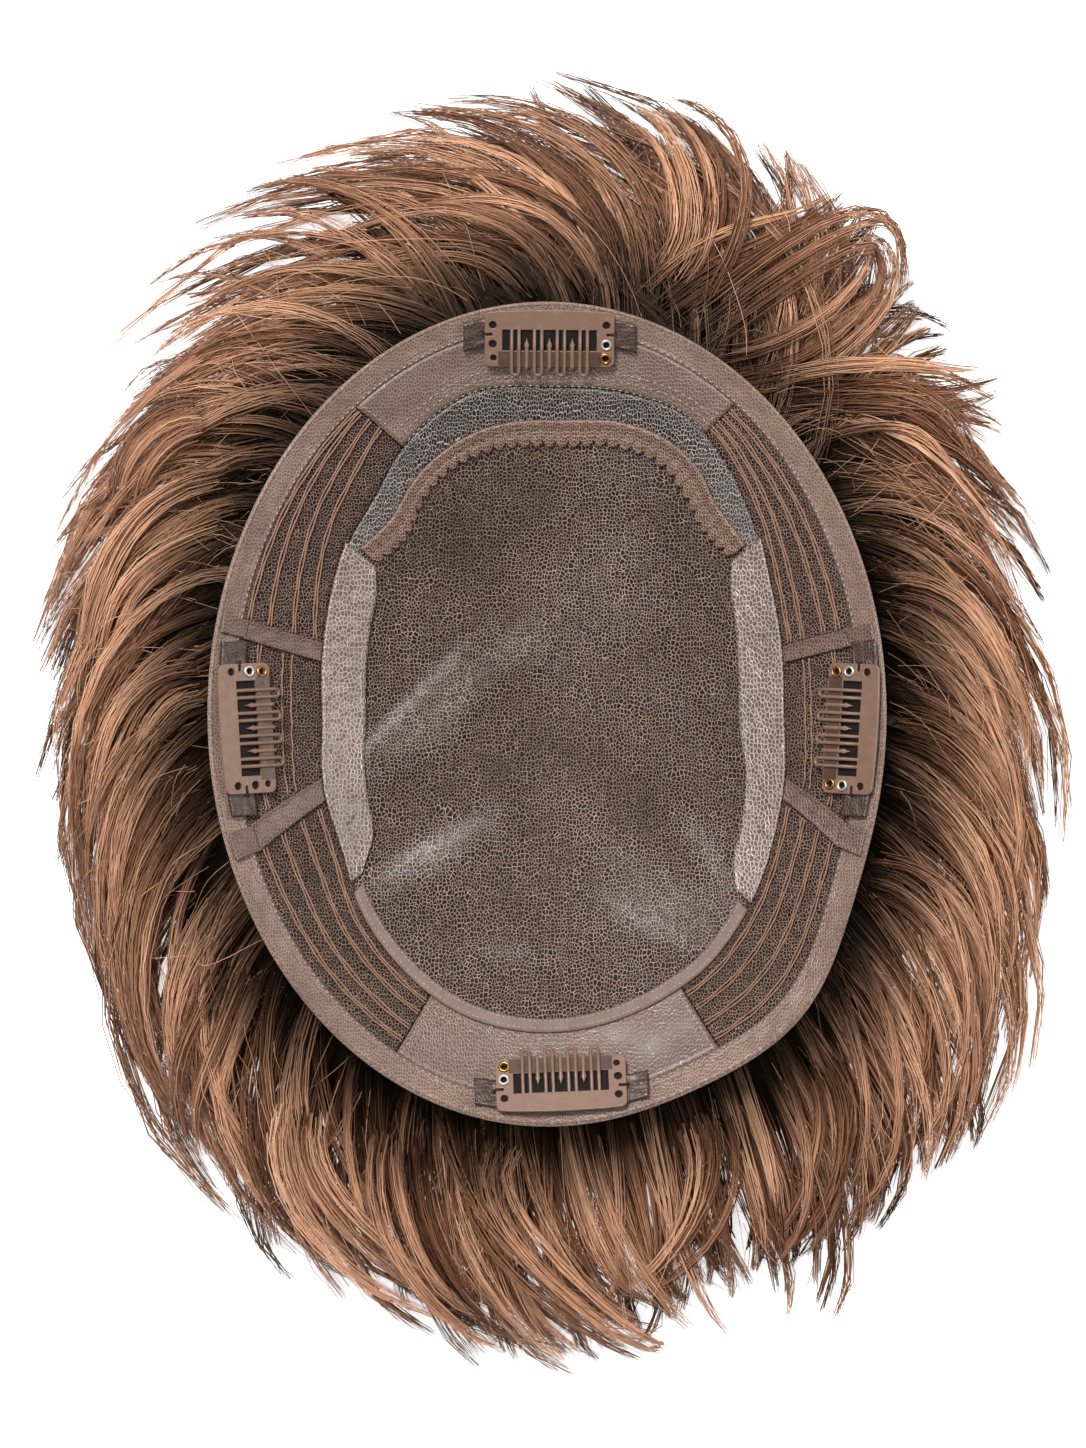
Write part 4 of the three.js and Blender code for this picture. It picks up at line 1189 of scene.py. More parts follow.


# Painted light on the centre panel: spots of painted highlight along the folds and in bright patches, and painted
# shade in the hollows where the height is below zero.
NET_PAINTED_LIGHT = (
    Fold(-0.27, 0.05, 42, 0.4, 0.06, 0.55),
    Fold(-0.36, -0.43, 32, 0.22, 0.06, 0.75),
    Fold(0.37, -0.54, -35, 0.26, 0.09, 0.7),
    Fold(0.12, 0.25, 80, 0.5, 0.16, 0.25),
    Fold(-0.44, 0.0, 46, 0.26, 0.022, 1.1),
    Fold(-0.34, -0.4, 28, 0.2, 0.026, 0.8),
    Fold(0.3, -0.62, -28, 0.16, 0.04, 0.9),
    Fold(0.48, -0.42, -58, 0.16, 0.035, 0.8),
    Fold(-0.1, -0.72, -8, 0.3, 0.05, 0.35),
    Fold(-0.2, 0.52, 30, 0.3, 0.16, -0.5),
    Fold(0.27, -0.3, -50, 0.3, 0.12, -0.4),
    Fold(-0.05, -0.2, 40, 0.35, 0.12, -0.2),
)


@dataclass
class CentrePanel:
    """The oval net panel in the middle, with soft folds."""

    shop: Workshop
    rings: int = 45
    thickness: float = 1.0
    ripple_height: float = 0.35

    def _sheen(self, x: np.ndarray, y: np.ndarray) -> np.ndarray:
        """Returns the painted light on the net at each place, about zero: painted highlight on the folds above
        zero, painted shade in the hollows below it.
        """
        half = self.shop.form.rim_width / 2
        total = 0.12 * ripple(x, y, 28, 6)
        for spot in NET_PAINTED_LIGHT:
            total = total + spot.at(x, y, half)
        return total

    def make(self) -> None:
        """Builds the panel as a square grid drawn into the oval."""
        form = self.shop.form
        line = np.linspace(-1, 1, self.rings * 2 + 1)
        u, v = np.meshgrid(line, line, indexing="ij")
        x = u * np.sqrt(1 - v**2 / 2)
        y = v * np.sqrt(1 - u**2 / 2)
        angle = np.degrees(np.arctan2(y, x))
        place = np.hypot(x, y) * (form.panel_seam(angle) - form.share(form.clearance / 2, angle))
        plan_x, plan_y = polar(angle, place * form.rim_radius(angle))
        waves = self.ripple_height * ripple(plan_x, plan_y, 17, 3) + 0.12 * ripple(plan_x, plan_y, 6, 4)
        calm = np.clip((1 - np.hypot(x, y)) * 6, 0, 1)
        under = form.on_bowl(plan_x, plan_y, np.zeros_like(plan_x))
        over = form.on_bowl(plan_x, plan_y, self.thickness + waves * calm)
        made = cloth_wall("centre_panel_cloth", under, over, form)
        # Painted highlight and painted shade, read by the net's shader.
        sheen = self._sheen(plan_x, plan_y).ravel()
        write_values(made.data, "sheen", np.concatenate([sheen, sheen]))
        self.shop.dress(made, NET, "net", "centre_panel")
        declare_sheet(made)


@dataclass
class FieldCloth:
    """The lace, the tabs and the stretch panels between the centre panel and the edge band."""

    shop: Workshop
    thickness: float = 1.0
    lace_from: float = 32.0
    lace_to: float = 144.0

    def make(self) -> None:
        """Builds all pieces."""
        form = self.shop.form
        half_gap = form.clearance / 2
        self._lace()

        def pucker(x: np.ndarray, y: np.ndarray, u: np.ndarray, v: np.ndarray) -> np.ndarray:
            """Gathers of a stretch panel."""
            return 0.3 * ripple(x, y, 9, 11) * np.sin(math.pi * v) ** 0.5

        def soft(x: np.ndarray, y: np.ndarray, u: np.ndarray, v: np.ndarray) -> np.ndarray:
            """Slight waves of a smooth patch."""
            return 0.16 * ripple(x, y, 15, 12) * np.sin(math.pi * v) ** 0.5

        pieces = [
            ("front_tab", TAB_FRONT_RIGHT, TAB_FRONT_LEFT, SMOOTH, "smooth_patch", soft, "laid"),
            ("back_tab", TAB_BACK_LEFT, TAB_BACK_RIGHT, SMOOTH, "smooth_patch", soft, "laid"),
        ]
        for name, (start, end) in STRETCH_PANELS.items():
            pieces.append((f"stretch_{name}", start, end, STRETCH, "stretch_net", pucker, "stretched"))
        for node, start, end, finish, slot, relief, held in pieces:
            patch = Patch(
                form,
                start.moved(form, half_gap),
                end.after(start).moved(form, -half_gap),
                form.shifted(form.field_inner, half_gap),
                form.band_inner,
            )
            cloth = patch.wall(f"{node}_cloth", 0.0, self.thickness, relief)
            self.shop.dress(cloth, finish, slot, node)
            declare_sheet(cloth)

    def _lace(self) -> None:
        """Builds the lace between the centre panel and the front tab, with painted highlight towards its ends and
        painted shade in its middle.
        """
        form = self.shop.form
        half_gap = form.clearance / 2
        patch = Patch(
            form,
            Line.radial(self.lace_from),
            Line.radial(self.lace_to),
            form.shifted(form.panel_seam, half_gap),
            form.shifted(form.field_inner, -half_gap),
        )

        def relief(x: np.ndarray, y: np.ndarray, u: np.ndarray, v: np.ndarray) -> np.ndarray:
            """Slight waves of the lace."""
            return 0.14 * ripple(x, y, 9, 13)

        cloth = patch.wall("front_lace_cloth", 0.0, self.thickness, relief)
        # Painted highlight that grows towards both ends of the lace, and painted shade in its middle.
        ends = np.abs(2 * patch.grid()[2].ravel() - 1)
        write_values(cloth.data, "sheen", np.concatenate([1.1 * ends - 0.25] * 2))
        self.shop.dress(cloth, LACE, "lace", "front_lace")
        declare_sheet(cloth)


@dataclass
class EdgeBand:
    """The band round the rim with its rolled outer edge."""

    shop: Workshop
    stations: int = 520
    flat_columns: int = 6
    roll_columns: int = 5
    thickness: float = 1.6

    def make(self) -> None:
        """Builds the band as one closed ring."""
        form = self.shop.form
        angle = np.linspace(0, TURN, self.stations, endpoint=False)[:, None]
        roll = self.thickness / 2
        inner = form.band_inner(angle)
        shoulder = 1 - form.share(roll, angle)
        across = np.linspace(0, 1, self.flat_columns + 1)[None, :]
        flat = inner + (shoulder - inner) * across
        turn = np.linspace(0, math.pi / 2, self.roll_columns + 1)[None, 1:]
        rolled = shoulder + form.share(roll, angle) * np.sin(turn)
        place = np.concatenate([flat, rolled], axis=1)
        rise = (across**2.2 * (self.thickness - 1.0)) + 1.0
        high = np.concatenate([rise, roll + roll * np.cos(turn)], axis=1)
        low = np.concatenate([0 * across, roll - roll * np.cos(turn)], axis=1)
        gap = 0.02
        high[:, -1] += gap
        low[:, -1] -= gap
        turned = angle + 0 * place
        plan = form.at_share(turned, place, 0.0)
        fade = np.concatenate([np.sin(math.pi * across), 0 * turn], axis=1)
        waves = 0.2 * ripple(plan[..., 0], plan[..., 1], 5, 21) * fade
        over = form.at_share(turned, place, high + waves)
        under = form.at_share(turned, place, low + 0 * place)
        made = cloth_wall("edge_band_cloth", under, over, form, closed=True)
        self.shop.dress(made, EDGE, "edge_tape", "edge_band")


@dataclass
class Overlays:
    """Ribbon, bands, straps and ribs that are sewn over the seams."""

    shop: Workshop
    lift: float = 1.3
    thickness: float = 1.0
    scallop_pitch: float = 3.1
    scallop_depth: float = 1.6
    scallop_steps: int = 12
    ribbon_inner_margin: float = 1.0
    ribbon_outer_margin: float = 0.9
    back_width: float = 3.2
    strap_spacing: float = 0.45
    strap_end_shift: float = -0.9
    strap_end_low: float = 1.32
    strap_end_high: float = 2.2
    rib_height: float = 0.8
    cord_width: float = 0.42
    cord_points: int = 60

    def make(self) -> None:
        """Builds all of them."""
        self._scalloped_ribbon()
        for side, rows in INNER_BANDS.items():
            self._inner_band(side, rows)
        self._back_ribbon()
        for name, line in STRAPS.items():
            self._strap(name, line)
        counts: dict[str, int] = {}
        for panel, width, start, end in RIBS:
            counts[panel] = counts.get(panel, 0) + 1
            self._rib(f"rib_{panel}_{counts[panel]}", panel, width, start, end)
        for n, (panel, start, end) in enumerate(FINE_CORDS, 1):
            self._rib(f"fine_{panel}_{n}", panel, 0.9, start, end, replaced=False)

    def _overlay(
        self, name: str, patch: Patch, relief: Callable, finish: object, slot: str, node: str
    ) -> bpy.types.Object:
        """Builds one overlay from its patch.

        Args:
            name: the object's name.
            patch: where it lies.
            relief: the upper side's own relief.
            finish: its finish.
            slot: the slot name of its finish.
            node: the CAD node that it stands for.

        Returns:
            The overlay.
        """
        made = patch.wall(name, self.lift, self.lift + self.thickness, relief)
        self.shop.dress(made, finish, slot, node)
        return made

    def _scalloped_ribbon(self) -> None:
        """Builds the ribbon in front of the centre panel."""
        form = self.shop.form
        inner = column_curve(SCALLOPED_RIBBON, 1, Fit.OPEN)
        outer = form.shifted(column_curve(SCALLOPED_RIBBON, 2, Fit.OPEN), self.ribbon_outer_margin)
        first = SCALLOPED_RIBBON[0][0]
        last = SCALLOPED_RIBBON[-1][0]
        middle = (first + last) / 2
        arc = math.radians(last - first) * float(form.rim_radius(middle) * inner(middle))
        scallops = round(arc / self.scallop_pitch)

        def scalloped(angle: np.ndarray) -> np.ndarray:
            """Returns the scalloped inner edge."""
            wave = np.abs(np.sin((angle - first) / (last - first) * scallops * math.pi))
            cut_in = form.share(self.scallop_depth, angle) * (1 - wave**0.8)
            return inner(angle) + cut_in - form.share(self.ribbon_inner_margin, angle)

        def relief(x: np.ndarray, y: np.ndarray, u: np.ndarray, v: np.ndarray) -> np.ndarray:
            """Raised edges and cross bars of the ribbon."""
            bars = 0.16 * np.sin(u * scallops * 2 * math.pi) * np.sin(math.pi * v)
            return bars + 0.25 * ridge(v, 0.88, 0.1) + 0.2 * ridge(v, 0.3, 0.1) - 0.2

        steps = scallops * self.scallop_steps
        patch = Patch(form, Line.radial(first), Line.radial(last), scalloped, outer, 0.5, steps)
        self._overlay("scalloped_ribbon_weave", patch, relief, RIBBON, "ribbon", "scalloped_ribbon")

    def _inner_band(self, side: str, rows: Sequence[tuple[float, float]]) -> None:
        """Builds one wrinkled film band beside the centre panel."""
        form = self.shop.form

        def relief(x: np.ndarray, y: np.ndarray, u: np.ndarray, v: np.ndarray) -> np.ndarray:
            """Folded edges and wrinkles."""
            edges = 0.22 * ridge(v, 0.0, 0.08) + 0.22 * ridge(v, 1.0, 0.08)
            wrinkles = 0.14 * ripple(x, y, 4, 31) + 0.08 * ripple(x, y, 1.8, 32)
            return edges - 0.35 + wrinkles * np.sin(math.pi * v) ** 0.4

        start = Line.radial(rows[0][0])
        end = Line.radial(rows[-1][0])
        patch = Patch(form, start, end, TableCurve(rows, Fit.OPEN), form.outline, spacing=0.75)
        name = f"inner_band_{side}"
        declare_sheet(self._overlay(f"{name}_film", patch, relief, BAND, "inner_band", name))

    def _back_ribbon(self) -> None:
        """Builds the light ribbon behind the centre panel."""
        form = self.shop.form
        start, end = (Line.radial(angle) for angle in BACK_RIBBON_SPAN)
        inner = form.shifted(form.outline, -self.back_width)

        def relief(x: np.ndarray, y: np.ndarray, u: np.ndarray, v: np.ndarray) -> np.ndarray:
            """A rounded section with small gathers."""
            return 0.25 * np.sin(math.pi * v) ** 0.5 - 0.3 + 0.1 * ripple(x, y, 2.2, 33)

        patch = Patch(form, start, end, inner, form.outline, spacing=0.5)
        self._overlay("back_ribbon_weave", patch, relief, BACK_RIBBON, "ribbon", "back_ribbon")

    def _crossing(self) -> tuple[Edge, Edge]:
        """Returns the inner and the outer end of what crosses the field."""
        form = self.shop.form
        return form.shifted(form.outline, form.clearance), form.shifted(form.band_inner, -form.clearance)

    def _strap(self, name: str, line: Line) -> None:
        """Builds one woven strap across the field, and its end on the edge band."""
        form = self.shop.form
        near = line.inner_width / 2
        far = line.outer_width / 2
        sides = (line.moved(form, side * near, side * far) for side in (-1, 1))

        def relief(x: np.ndarray, y: np.ndarray, u: np.ndarray, v: np.ndarray) -> np.ndarray:
            """Thick edges of the tape."""
            return 0.2 * ridge(np.minimum(u, 1 - u), 0.0, 0.12) - 0.25 + 0.07 * ripple(x, y, 3, 34)

        patch = Patch(form, *sides, *self._crossing(), spacing=self.strap_spacing)
        self._overlay(f"strap_{name}_weave", patch, relief, STRAP, "strap", f"strap_{name}")
        half = math.degrees(far / float(form.rim_radius(line.outer)))
        end = Patch(
            form,
            Line.radial(line.outer - half),
            Line.radial(line.outer + half),
            form.shifted(form.band_inner, self.strap_end_shift),
            form.shifted(form.rim, self.strap_end_shift),
            spacing=self.strap_spacing,
        )
        angle, place, u, v = end.grid()
        low = form.at_share(angle, place, self.strap_end_low + 0.55 * v**2.2)
        worn = relief(low[..., 0], low[..., 1], u, v) * 0.5
        high = form.at_share(angle, place, self.strap_end_high + 0.1 * v + worn)
        self.shop.dress(cloth_wall(f"strap_{name}_end", low, high, form), STRAP, "strap")

    def _rib(
        self, node: str, panel: str, width: float, start: float, end: float, replaced: bool = True
    ) -> None:
        """Builds the two cords of one rib along a stretch panel.

        Args:
            node: name of the CAD node.
            panel: name of the panel.
            width: the rib's width.
            start: share across the field at its start.
            end: share across the field at its end.
            replaced: whether the rib stands for a CAD node.
        """
        form = self.shop.form
        before, after = STRETCH_PANELS[panel]
        first = before.moved(form, before.half + form.clearance)
        last = after.after(before).moved(form, -after.half - form.clearance)
        u = np.linspace(0, 1, self.cord_points)
        across = start + (end - start) * u
        near, far = (line.inner + (line.outer - line.inner) * across for line in (first, last))
        angle = near + (far - near) * u
        inner, outer = (edge(angle) for edge in self._crossing())
        middle = inner + (outer - inner) * across
        height = self.lift + self.rib_height / 2
        cords = []
        for side in (-1, 1):
            wander = 0.1 * np.sin(u * 37 + side) + side * (width / 2 - self.cord_width / 2 + 0.1)
            place = middle + form.share(wander, angle)
            path = form.at_share(angle, place, height)
            up = form.at_share(angle, place, height + 1) - path
            cords.append(tube("cord", path, up, self.cord_width, self.rib_height * 0.6, form, sides=6))
        self.shop.dress(joined(f"{node}_cords", cords), RIB, "rib", *([node] if replaced else []))


# Stitches


def named_attribute(bench: NodeBench, name: str, kind: str) -> bpy.types.NodeSocket:
    """Adds a geometry node that reads a named attribute and returns its socket."""
    node = bench.add("GeometryNodeInputNamedAttribute", data_type=kind)
    node.inputs["Name"].default_value = name
    return next(socket for socket in node.outputs if socket.name == "Attribute" and socket.enabled)


def made_plain(made: bpy.types.Object) -> None:
    """Turns an object with live nodes into a plain mesh."""
    bpy.context.view_layer.update()
    graph = bpy.context.evaluated_depsgraph_get()
    whole = bpy.data.meshes.new_from_object(made.evaluated_get(graph))
    made.modifiers.clear()
    made.data = whole


class NodeTool:
    """Geometry nodes that give the points or edges of a mesh bodies of one material."""

    def __init__(self, name: str) -> None:
        """Builds the tree round the nodes that make the bodies.

        Args:
            name: the tree's name.
        """
        tree = bpy.data.node_groups.new(name, "GeometryNodeTree")
        tree.interface.new_socket("Geometry", in_out="INPUT", socket_type="NodeSocketGeometry")
        self.thickness = tree.interface.new_socket("Thickness", in_out="INPUT", socket_type="NodeSocketFloat")
        self.finish = tree.interface.new_socket("Material", in_out="INPUT", socket_type="NodeSocketMaterial")
        tree.interface.new_socket("Geometry", in_out="OUTPUT", socket_type="NodeSocketGeometry")
        bench = NodeBench(tree)
        start = bench.add("NodeGroupInput")
        end = bench.add("NodeGroupOutput")
        real = bench.add("GeometryNodeRealizeInstances")
        bench.join(self._bodies(bench, start), real.inputs["Geometry"])
        coloured = bench.add("GeometryNodeSetMaterial")
        bench.join(real.outputs["Geometry"], coloured.inputs["Geometry"])
        bench.join(start.outputs["Material"], coloured.inputs["Material"])
        bench.join(coloured.outputs["Geometry"], end.inputs["Geometry"])
        self.tree = tree

    def _bodies(self, bench: NodeBench, start: bpy.types.Node) -> bpy.types.NodeSocket:
        """Adds the nodes that make the bodies and returns their socket."""
        raise NotImplementedError

    @staticmethod
    def _smooth(bench: NodeBench, mesh: bpy.types.NodeSocket) -> bpy.types.NodeSocket:
        """Adds smooth shading and returns its socket."""
        node = bench.add("GeometryNodeSetShadeSmooth")
        bench.join(mesh, node.inputs["Geometry"])
        return node.outputs["Geometry"]

    def run(self, made: bpy.types.Object, thickness: float, material: bpy.types.Material) -> None:
        """Turns a mesh of points or edges into bodies.

        Args:
            made: the object with the mesh.
            thickness: half of a body's thickness in millimetres.
            material: material of the bodies.
        """
        modifier = made.modifiers.new("bodies", "NODES")
        modifier.node_group = self.tree
        modifier[self.thickness.identifier] = thickness * MM
        modifier[self.finish.identifier] = material
        made_plain(made)


class StitchTool(NodeTool):
    """Puts one rounded stitch on each point of a mesh."""

    bead = (("Segments", 5), ("Rings", 3), ("Radius", 1.0))
    rise = 0.4

    def __init__(self, shop: Workshop) -> None:
        """Builds the tree.

        Args:
            shop: where the materials come from.
        """
        super().__init__("stitches_on_points")
        self.shop = shop

    def _bodies(self, bench: NodeBench, start: bpy.types.Node) -> bpy.types.NodeSocket:
        """Adds a bead for each point, turned and drawn out along its stitch."""
        first = bench.add("FunctionNodeAlignRotationToVector", axis="X")
        bench.join(named_attribute(bench, "along", "FLOAT_VECTOR"), first.inputs["Vector"])
        second = bench.add("FunctionNodeAlignRotationToVector", axis="Z", pivot_axis="X")
        bench.join(first.outputs["Rotation"], second.inputs["Rotation"])
        bench.join(named_attribute(bench, "up", "FLOAT_VECTOR"), second.inputs["Vector"])
        size = bench.add("ShaderNodeCombineXYZ")
        bench.join(named_attribute(bench, "reach", "FLOAT"), size.inputs["X"])
        bench.join(start.outputs["Thickness"], size.inputs["Y"], size.inputs["Z"])
        ball = bench.add("GeometryNodeMeshUVSphere")
        for label, value in self.bead:
            ball.inputs[label].default_value = value
        placed = bench.add("GeometryNodeInstanceOnPoints")
        bench.join(start.outputs["Geometry"], placed.inputs["Points"])
        bench.join(self._smooth(bench, ball.outputs["Mesh"]), placed.inputs["Instance"])
        bench.join(second.outputs["Rotation"], placed.inputs["Rotation"])
        bench.join(size.outputs["Vector"], placed.inputs["Scale"])
        return placed.outputs["Instances"]

    def sew(self, name: str, thickness: float, finish: object, slot: str, runs: Sequence[Run]) -> None:
        """Sews stitches between pairs of points, as one object.

        Args:
            name: the object's name.
            thickness: half of the thread's thickness.
            finish: finish of the thread.
            slot: the slot name of that finish.
            runs: for each run, starts and ends of its stitches and the direction away from the cloth.
        """
        starts, ends, ups = (np.concatenate([run[k] for run in runs]) for k in range(3))
        along = ends - starts
        reach = np.linalg.norm(along, axis=1) / 2
        middles = (starts + ends) / 2 + ups * thickness * self.rise
        made = write_mesh(name, middles, [], self.shop.form)
        write_values(made.data, "along", along / (2 * reach[:, None]), "FLOAT_VECTOR")
        write_values(made.data, "up", ups, "FLOAT_VECTOR")
        write_values(made.data, "reach", reach * MM)
        self.run(made, thickness, self.shop.material(finish))
        self.shop.dress(made, finish, slot)


@dataclass
class Seam:
    """A path beside an edge of the base that stitches follow."""

    form: BaseForm
    angle: np.ndarray
    edge: Edge
    shift: float
    lift: float
    pitch: float
    fill: float = 0.72
    swing: float = 0.0

    def run(self) -> Run:
        """Returns the starts, ends and upward directions of the stitches."""
        place = self.edge(self.angle) + self.form.share(self.shift, self.angle)
        points = self.form.at_share(self.angle, place, self.lift)
        ups = self.form.at_share(self.angle, place, self.lift + 1.0) - points
        way = np.concatenate([[0], np.cumsum(np.linalg.norm(np.diff(points, axis=0), axis=1))])
        count = max(2, round(way[-1] / self.pitch))
        at = np.linspace(0, way[-1], count + 1)
        path, up = (
            np.stack([np.interp(at, way, rows[:, k]) for k in range(3)], axis=1) for rows in (points, ups)
        )
        up /= np.linalg.norm(up, axis=1, keepdims=True)
        if self.swing:
            ahead = np.gradient(path, axis=0)
            side = np.cross(up, ahead / np.linalg.norm(ahead, axis=1, keepdims=True))
            path = path + side * (self.swing * (1 - 2 * (np.arange(count + 1) % 2)))[:, None]
        starts = path[:-1]
        ends = path[1:]
        spare = (ends - starts) * (1 - self.fill) / 2
        return starts + spare, ends - spare, up[:-1]


@dataclass
class Sewing:
    """All visible seams of the base."""

    shop: Workshop
    steps: int = 260
    front_arc: tuple[float, float] = (61, 117.5)
    back_arc: tuple[float, float] = (249, 294.5)
    ribbon_margin: float = 0.6
    cloth_lift: float = 1.1
    band_lift: float = 2.1
    ribbon_lift: float = 2.2

    def make(self) -> None:
        """Sews the seams."""
        form = self.shop.form
        tool = StitchTool(self.shop)
        outline = form.outline
        band = form.band_inner
        rim = np.linspace(0, TURN, 4 * self.steps)
        front = self._arc(*self.front_arc)
        back = self._arc(*self.back_arc)
        binding = self._arc(*BACK_RIBBON_SPAN, self.ribbon_margin)
        ribbon = self._arc(SCALLOPED_RIBBON[0][0], SCALLOPED_RIBBON[-1][0], self.ribbon_margin)
        ribbon_inner = column_curve(SCALLOPED_RIBBON, 1, Fit.OPEN)
        ribbon_outer = column_curve(SCALLOPED_RIBBON, 2, Fit.OPEN)
        zigzag = Seam(form, ribbon, ribbon_outer, -1.0, 2.3, 1.1, fill=1.0, swing=0.4)
        for name, thickness, finish, slot, runs in (
            (
                "edge_band_stitches", 0.2, LIGHT_THREAD, "edge_tape",
                [Seam(form, rim, band, 0.7, 1.2, 1.8, fill=0.66).run()],
            ),
            (
                "edge_band_line", 0.12, TAN_THREAD, "edge_tape",
                [Seam(form, rim, band, 1.9, 1.12, 1.2, fill=1.0).run()],
            ),
            (
                "rim_line", 0.3, TAN_THREAD, "edge_tape",
                [Seam(form, rim, form.rim, -0.45, 1.5, 2.2, fill=1.15).run()],
            ),
            ("panel_beads", 0.2, BEAD_THREAD, "stretch_net", self._panel_runs()),
            ("tab_stitches", 0.16, LIGHT_THREAD, "smooth_patch", self._tab_runs(front, back)),
            ("inner_band_stitches", 0.15, LIGHT_THREAD, "inner_band", self._band_runs()),
            (
                "back_ribbon_stitches", 0.15, LIGHT_THREAD, "ribbon",
                [Seam(form, binding, outline, shift, self.ribbon_lift, 1.3).run() for shift in (-0.7, -2.5)],
            ),
            (
                "scalloped_ribbon_stitches", 0.15, RIBBON, "ribbon",
                [zigzag.run(), Seam(form, ribbon, ribbon_inner, 2.4, 2.3, 1.3).run()],
            ),
            ("lace_stitches", 0.15, LIGHT_THREAD, "lace", [Seam(form, front, outline, -0.9, 1.1, 1.7).run()]),
            ("strap_stitches", 0.12, TAN_THREAD, "strap", self._strap_runs()),
        ):
            tool.sew(name, thickness, finish, slot, runs)

    def _arc(self, first: float, last: float, margin: float = 0.0) -> np.ndarray:
        """Returns angles along an arc, a margin short of both ends."""
        return np.linspace(first + margin, last - margin, self.steps)

    def _across(self, line: Line, lift: float, pitch: float) -> Run:
        """Returns a run of stitches across the field along a line."""
        form = self.shop.form
        v = np.linspace(0.04, 0.96, 40)

        def place(angle: np.ndarray) -> np.ndarray:
            """Returns the line's share of the rim's radius."""
            inner = form.outline(angle)
            return inner + (form.band_inner(angle) - inner) * v

        return Seam(form, line.inner + (line.outer - line.inner) * v, place, 0.0, lift, pitch).run()

    def _panel_runs(self) -> list[Run]:
        """Returns the beads along the inner edge of each stretch panel."""
        form = self.shop.form
        runs = []
        for start, end in STRETCH_PANELS.values():
            angle = self._arc(start.inner, end.after(start).inner, 1)
            runs.append(Seam(form, angle, form.outline, 0.7, 1.25, 1.1, 0.9).run())
        return runs

    def _tab_runs(self, front: np.ndarray, back: np.ndarray) -> list[Run]:
        """Returns the seams along and beside both tabs."""
        form = self.shop.form
        runs = []
        for angle, shift in ((front, 1.2), (front, 3.0), (back, 1.2), (back, 2.8)):
            runs.append(Seam(form, angle, form.outline, shift, self.cloth_lift, 1.9).run())
        for line, side in (
            (TAB_FRONT_RIGHT, 1), (TAB_FRONT_LEFT, -1), (TAB_BACK_LEFT, 1), (TAB_BACK_RIGHT, -1),
        ):
            runs.append(self._across(line.moved(form, side * 1.3), self.cloth_lift, 1.7))
        return runs

    def _band_runs(self) -> list[Run]:
        """Returns the seams along both edges of the inner bands."""
        form = self.shop.form
        runs = []
        for rows in INNER_BANDS.values():
            angle = self._arc(rows[0][0], rows[-1][0], 1)
            for edge, shift in ((TableCurve(rows, Fit.OPEN), 1.1), (form.outline, -1.1)):
                runs.append(Seam(form, angle, edge, shift, self.band_lift, 1.6).run())
        return runs

    def _strap_runs(self) -> list[Run]:
        """Returns the seams along both edges of the straps."""
        runs = []
        for line in STRAPS.values():
            for side in (-1, 1):
                shifts = (side * (width / 2 - 0.6) for width in (line.inner_width, line.outer_width))
                runs.append(self._across(line.moved(self.shop.form, *shifts), 2.25, 1.5))
        return runs


# Clips


def tube(
    name: str,
    path: np.ndarray,
    up: np.ndarray,
    width: float,
    height: float,
    form: BaseForm,
    sides: int = 8,
    widths: Optional[np.ndarray] = None,
) -> bpy.types.Object:
    """A closed bar of oval section along a path.

    Args:
        name: the object's name.
        path: points of its middle line.
        up: direction of the section's height at each point.
        width: width of the section.
        height: height of the section.
        form: the base.
        sides: corners of the section.
        widths: share of the width at each point, or None for all of it.

    Returns:
        The object.
    """
    share = np.ones(len(path)) if widths is None else widths
    ahead = np.gradient(path, axis=0)
    ahead /= np.linalg.norm(ahead, axis=1, keepdims=True)
    side = np.cross(ahead, up)
    side /= np.linalg.norm(side, axis=1, keepdims=True)
    rise = np.cross(side, ahead)
    turn = np.linspace(0, 2 * math.pi, sides, endpoint=False)
    ring = side[:, None] * (share[:, None] * np.cos(turn) * width / 2)[..., None]
    ring = ring + rise[:, None] * (np.sin(turn) * height / 2)[None, :, None]
    points = (path[:, None] + ring).reshape(-1, 3)
    ends = [path[0] - ahead[0] * height * 0.3, path[-1] + ahead[-1] * height * 0.3]
    first, last = len(points), len(points) + 1
    faces = ring_faces(len(path), sides)
    base = (len(path) - 1) * sides
    for j in range(sides):
        k = (j + 1) % sides
        faces.append((first, k, j))
        faces.append((last, base + j, base + k))
    return outward(write_mesh(name, np.concatenate([points, ends]), faces, form))


def joined(name: str, parts: Sequence[bpy.types.Object]) -> bpy.types.Object:
    """Joins objects into one and returns it.

    Args:
        name: name of the whole.
        parts: the objects.
    """
    bpy.ops.object.select_all(action="DESELECT")
    for part in parts:
        part.select_set(True)
    bpy.context.view_layer.objects.active = parts[0]
    bpy.ops.object.join()
    parts[0].name = name
    parts[0].data.name = name
    return parts[0]


@dataclass(frozen=True)
class ClipPlace:
    """Where a clip is sewn, and which of its holes hold an eyelet: (end, hole, metal)."""

    name: str
    angle: float
    inset: float
    bend: float
    eyelets: tuple[tuple[int, int, str], ...]


CLIPS = (
    ClipPlace("front", 89.6, 1.6, 70.0, ((-1, 2, "steel"), (-1, 3, "brass"))),
    ClipPlace("left", 183.1, 1.9, 130.0, ((-1, 2, "steel"), (-1, 3, "brass"))),
    ClipPlace("back", 272.2, 2.6, 80.0, ((-1, 3, "brass"), (-1, 2, "steel"))),
    ClipPlace(
        "right", -3.1, 0.9, 130.0, ((1, 3, "brass"), (1, 2, "steel"), (-1, 3, "brass"), (-1, 2, "steel"))
    ),
)


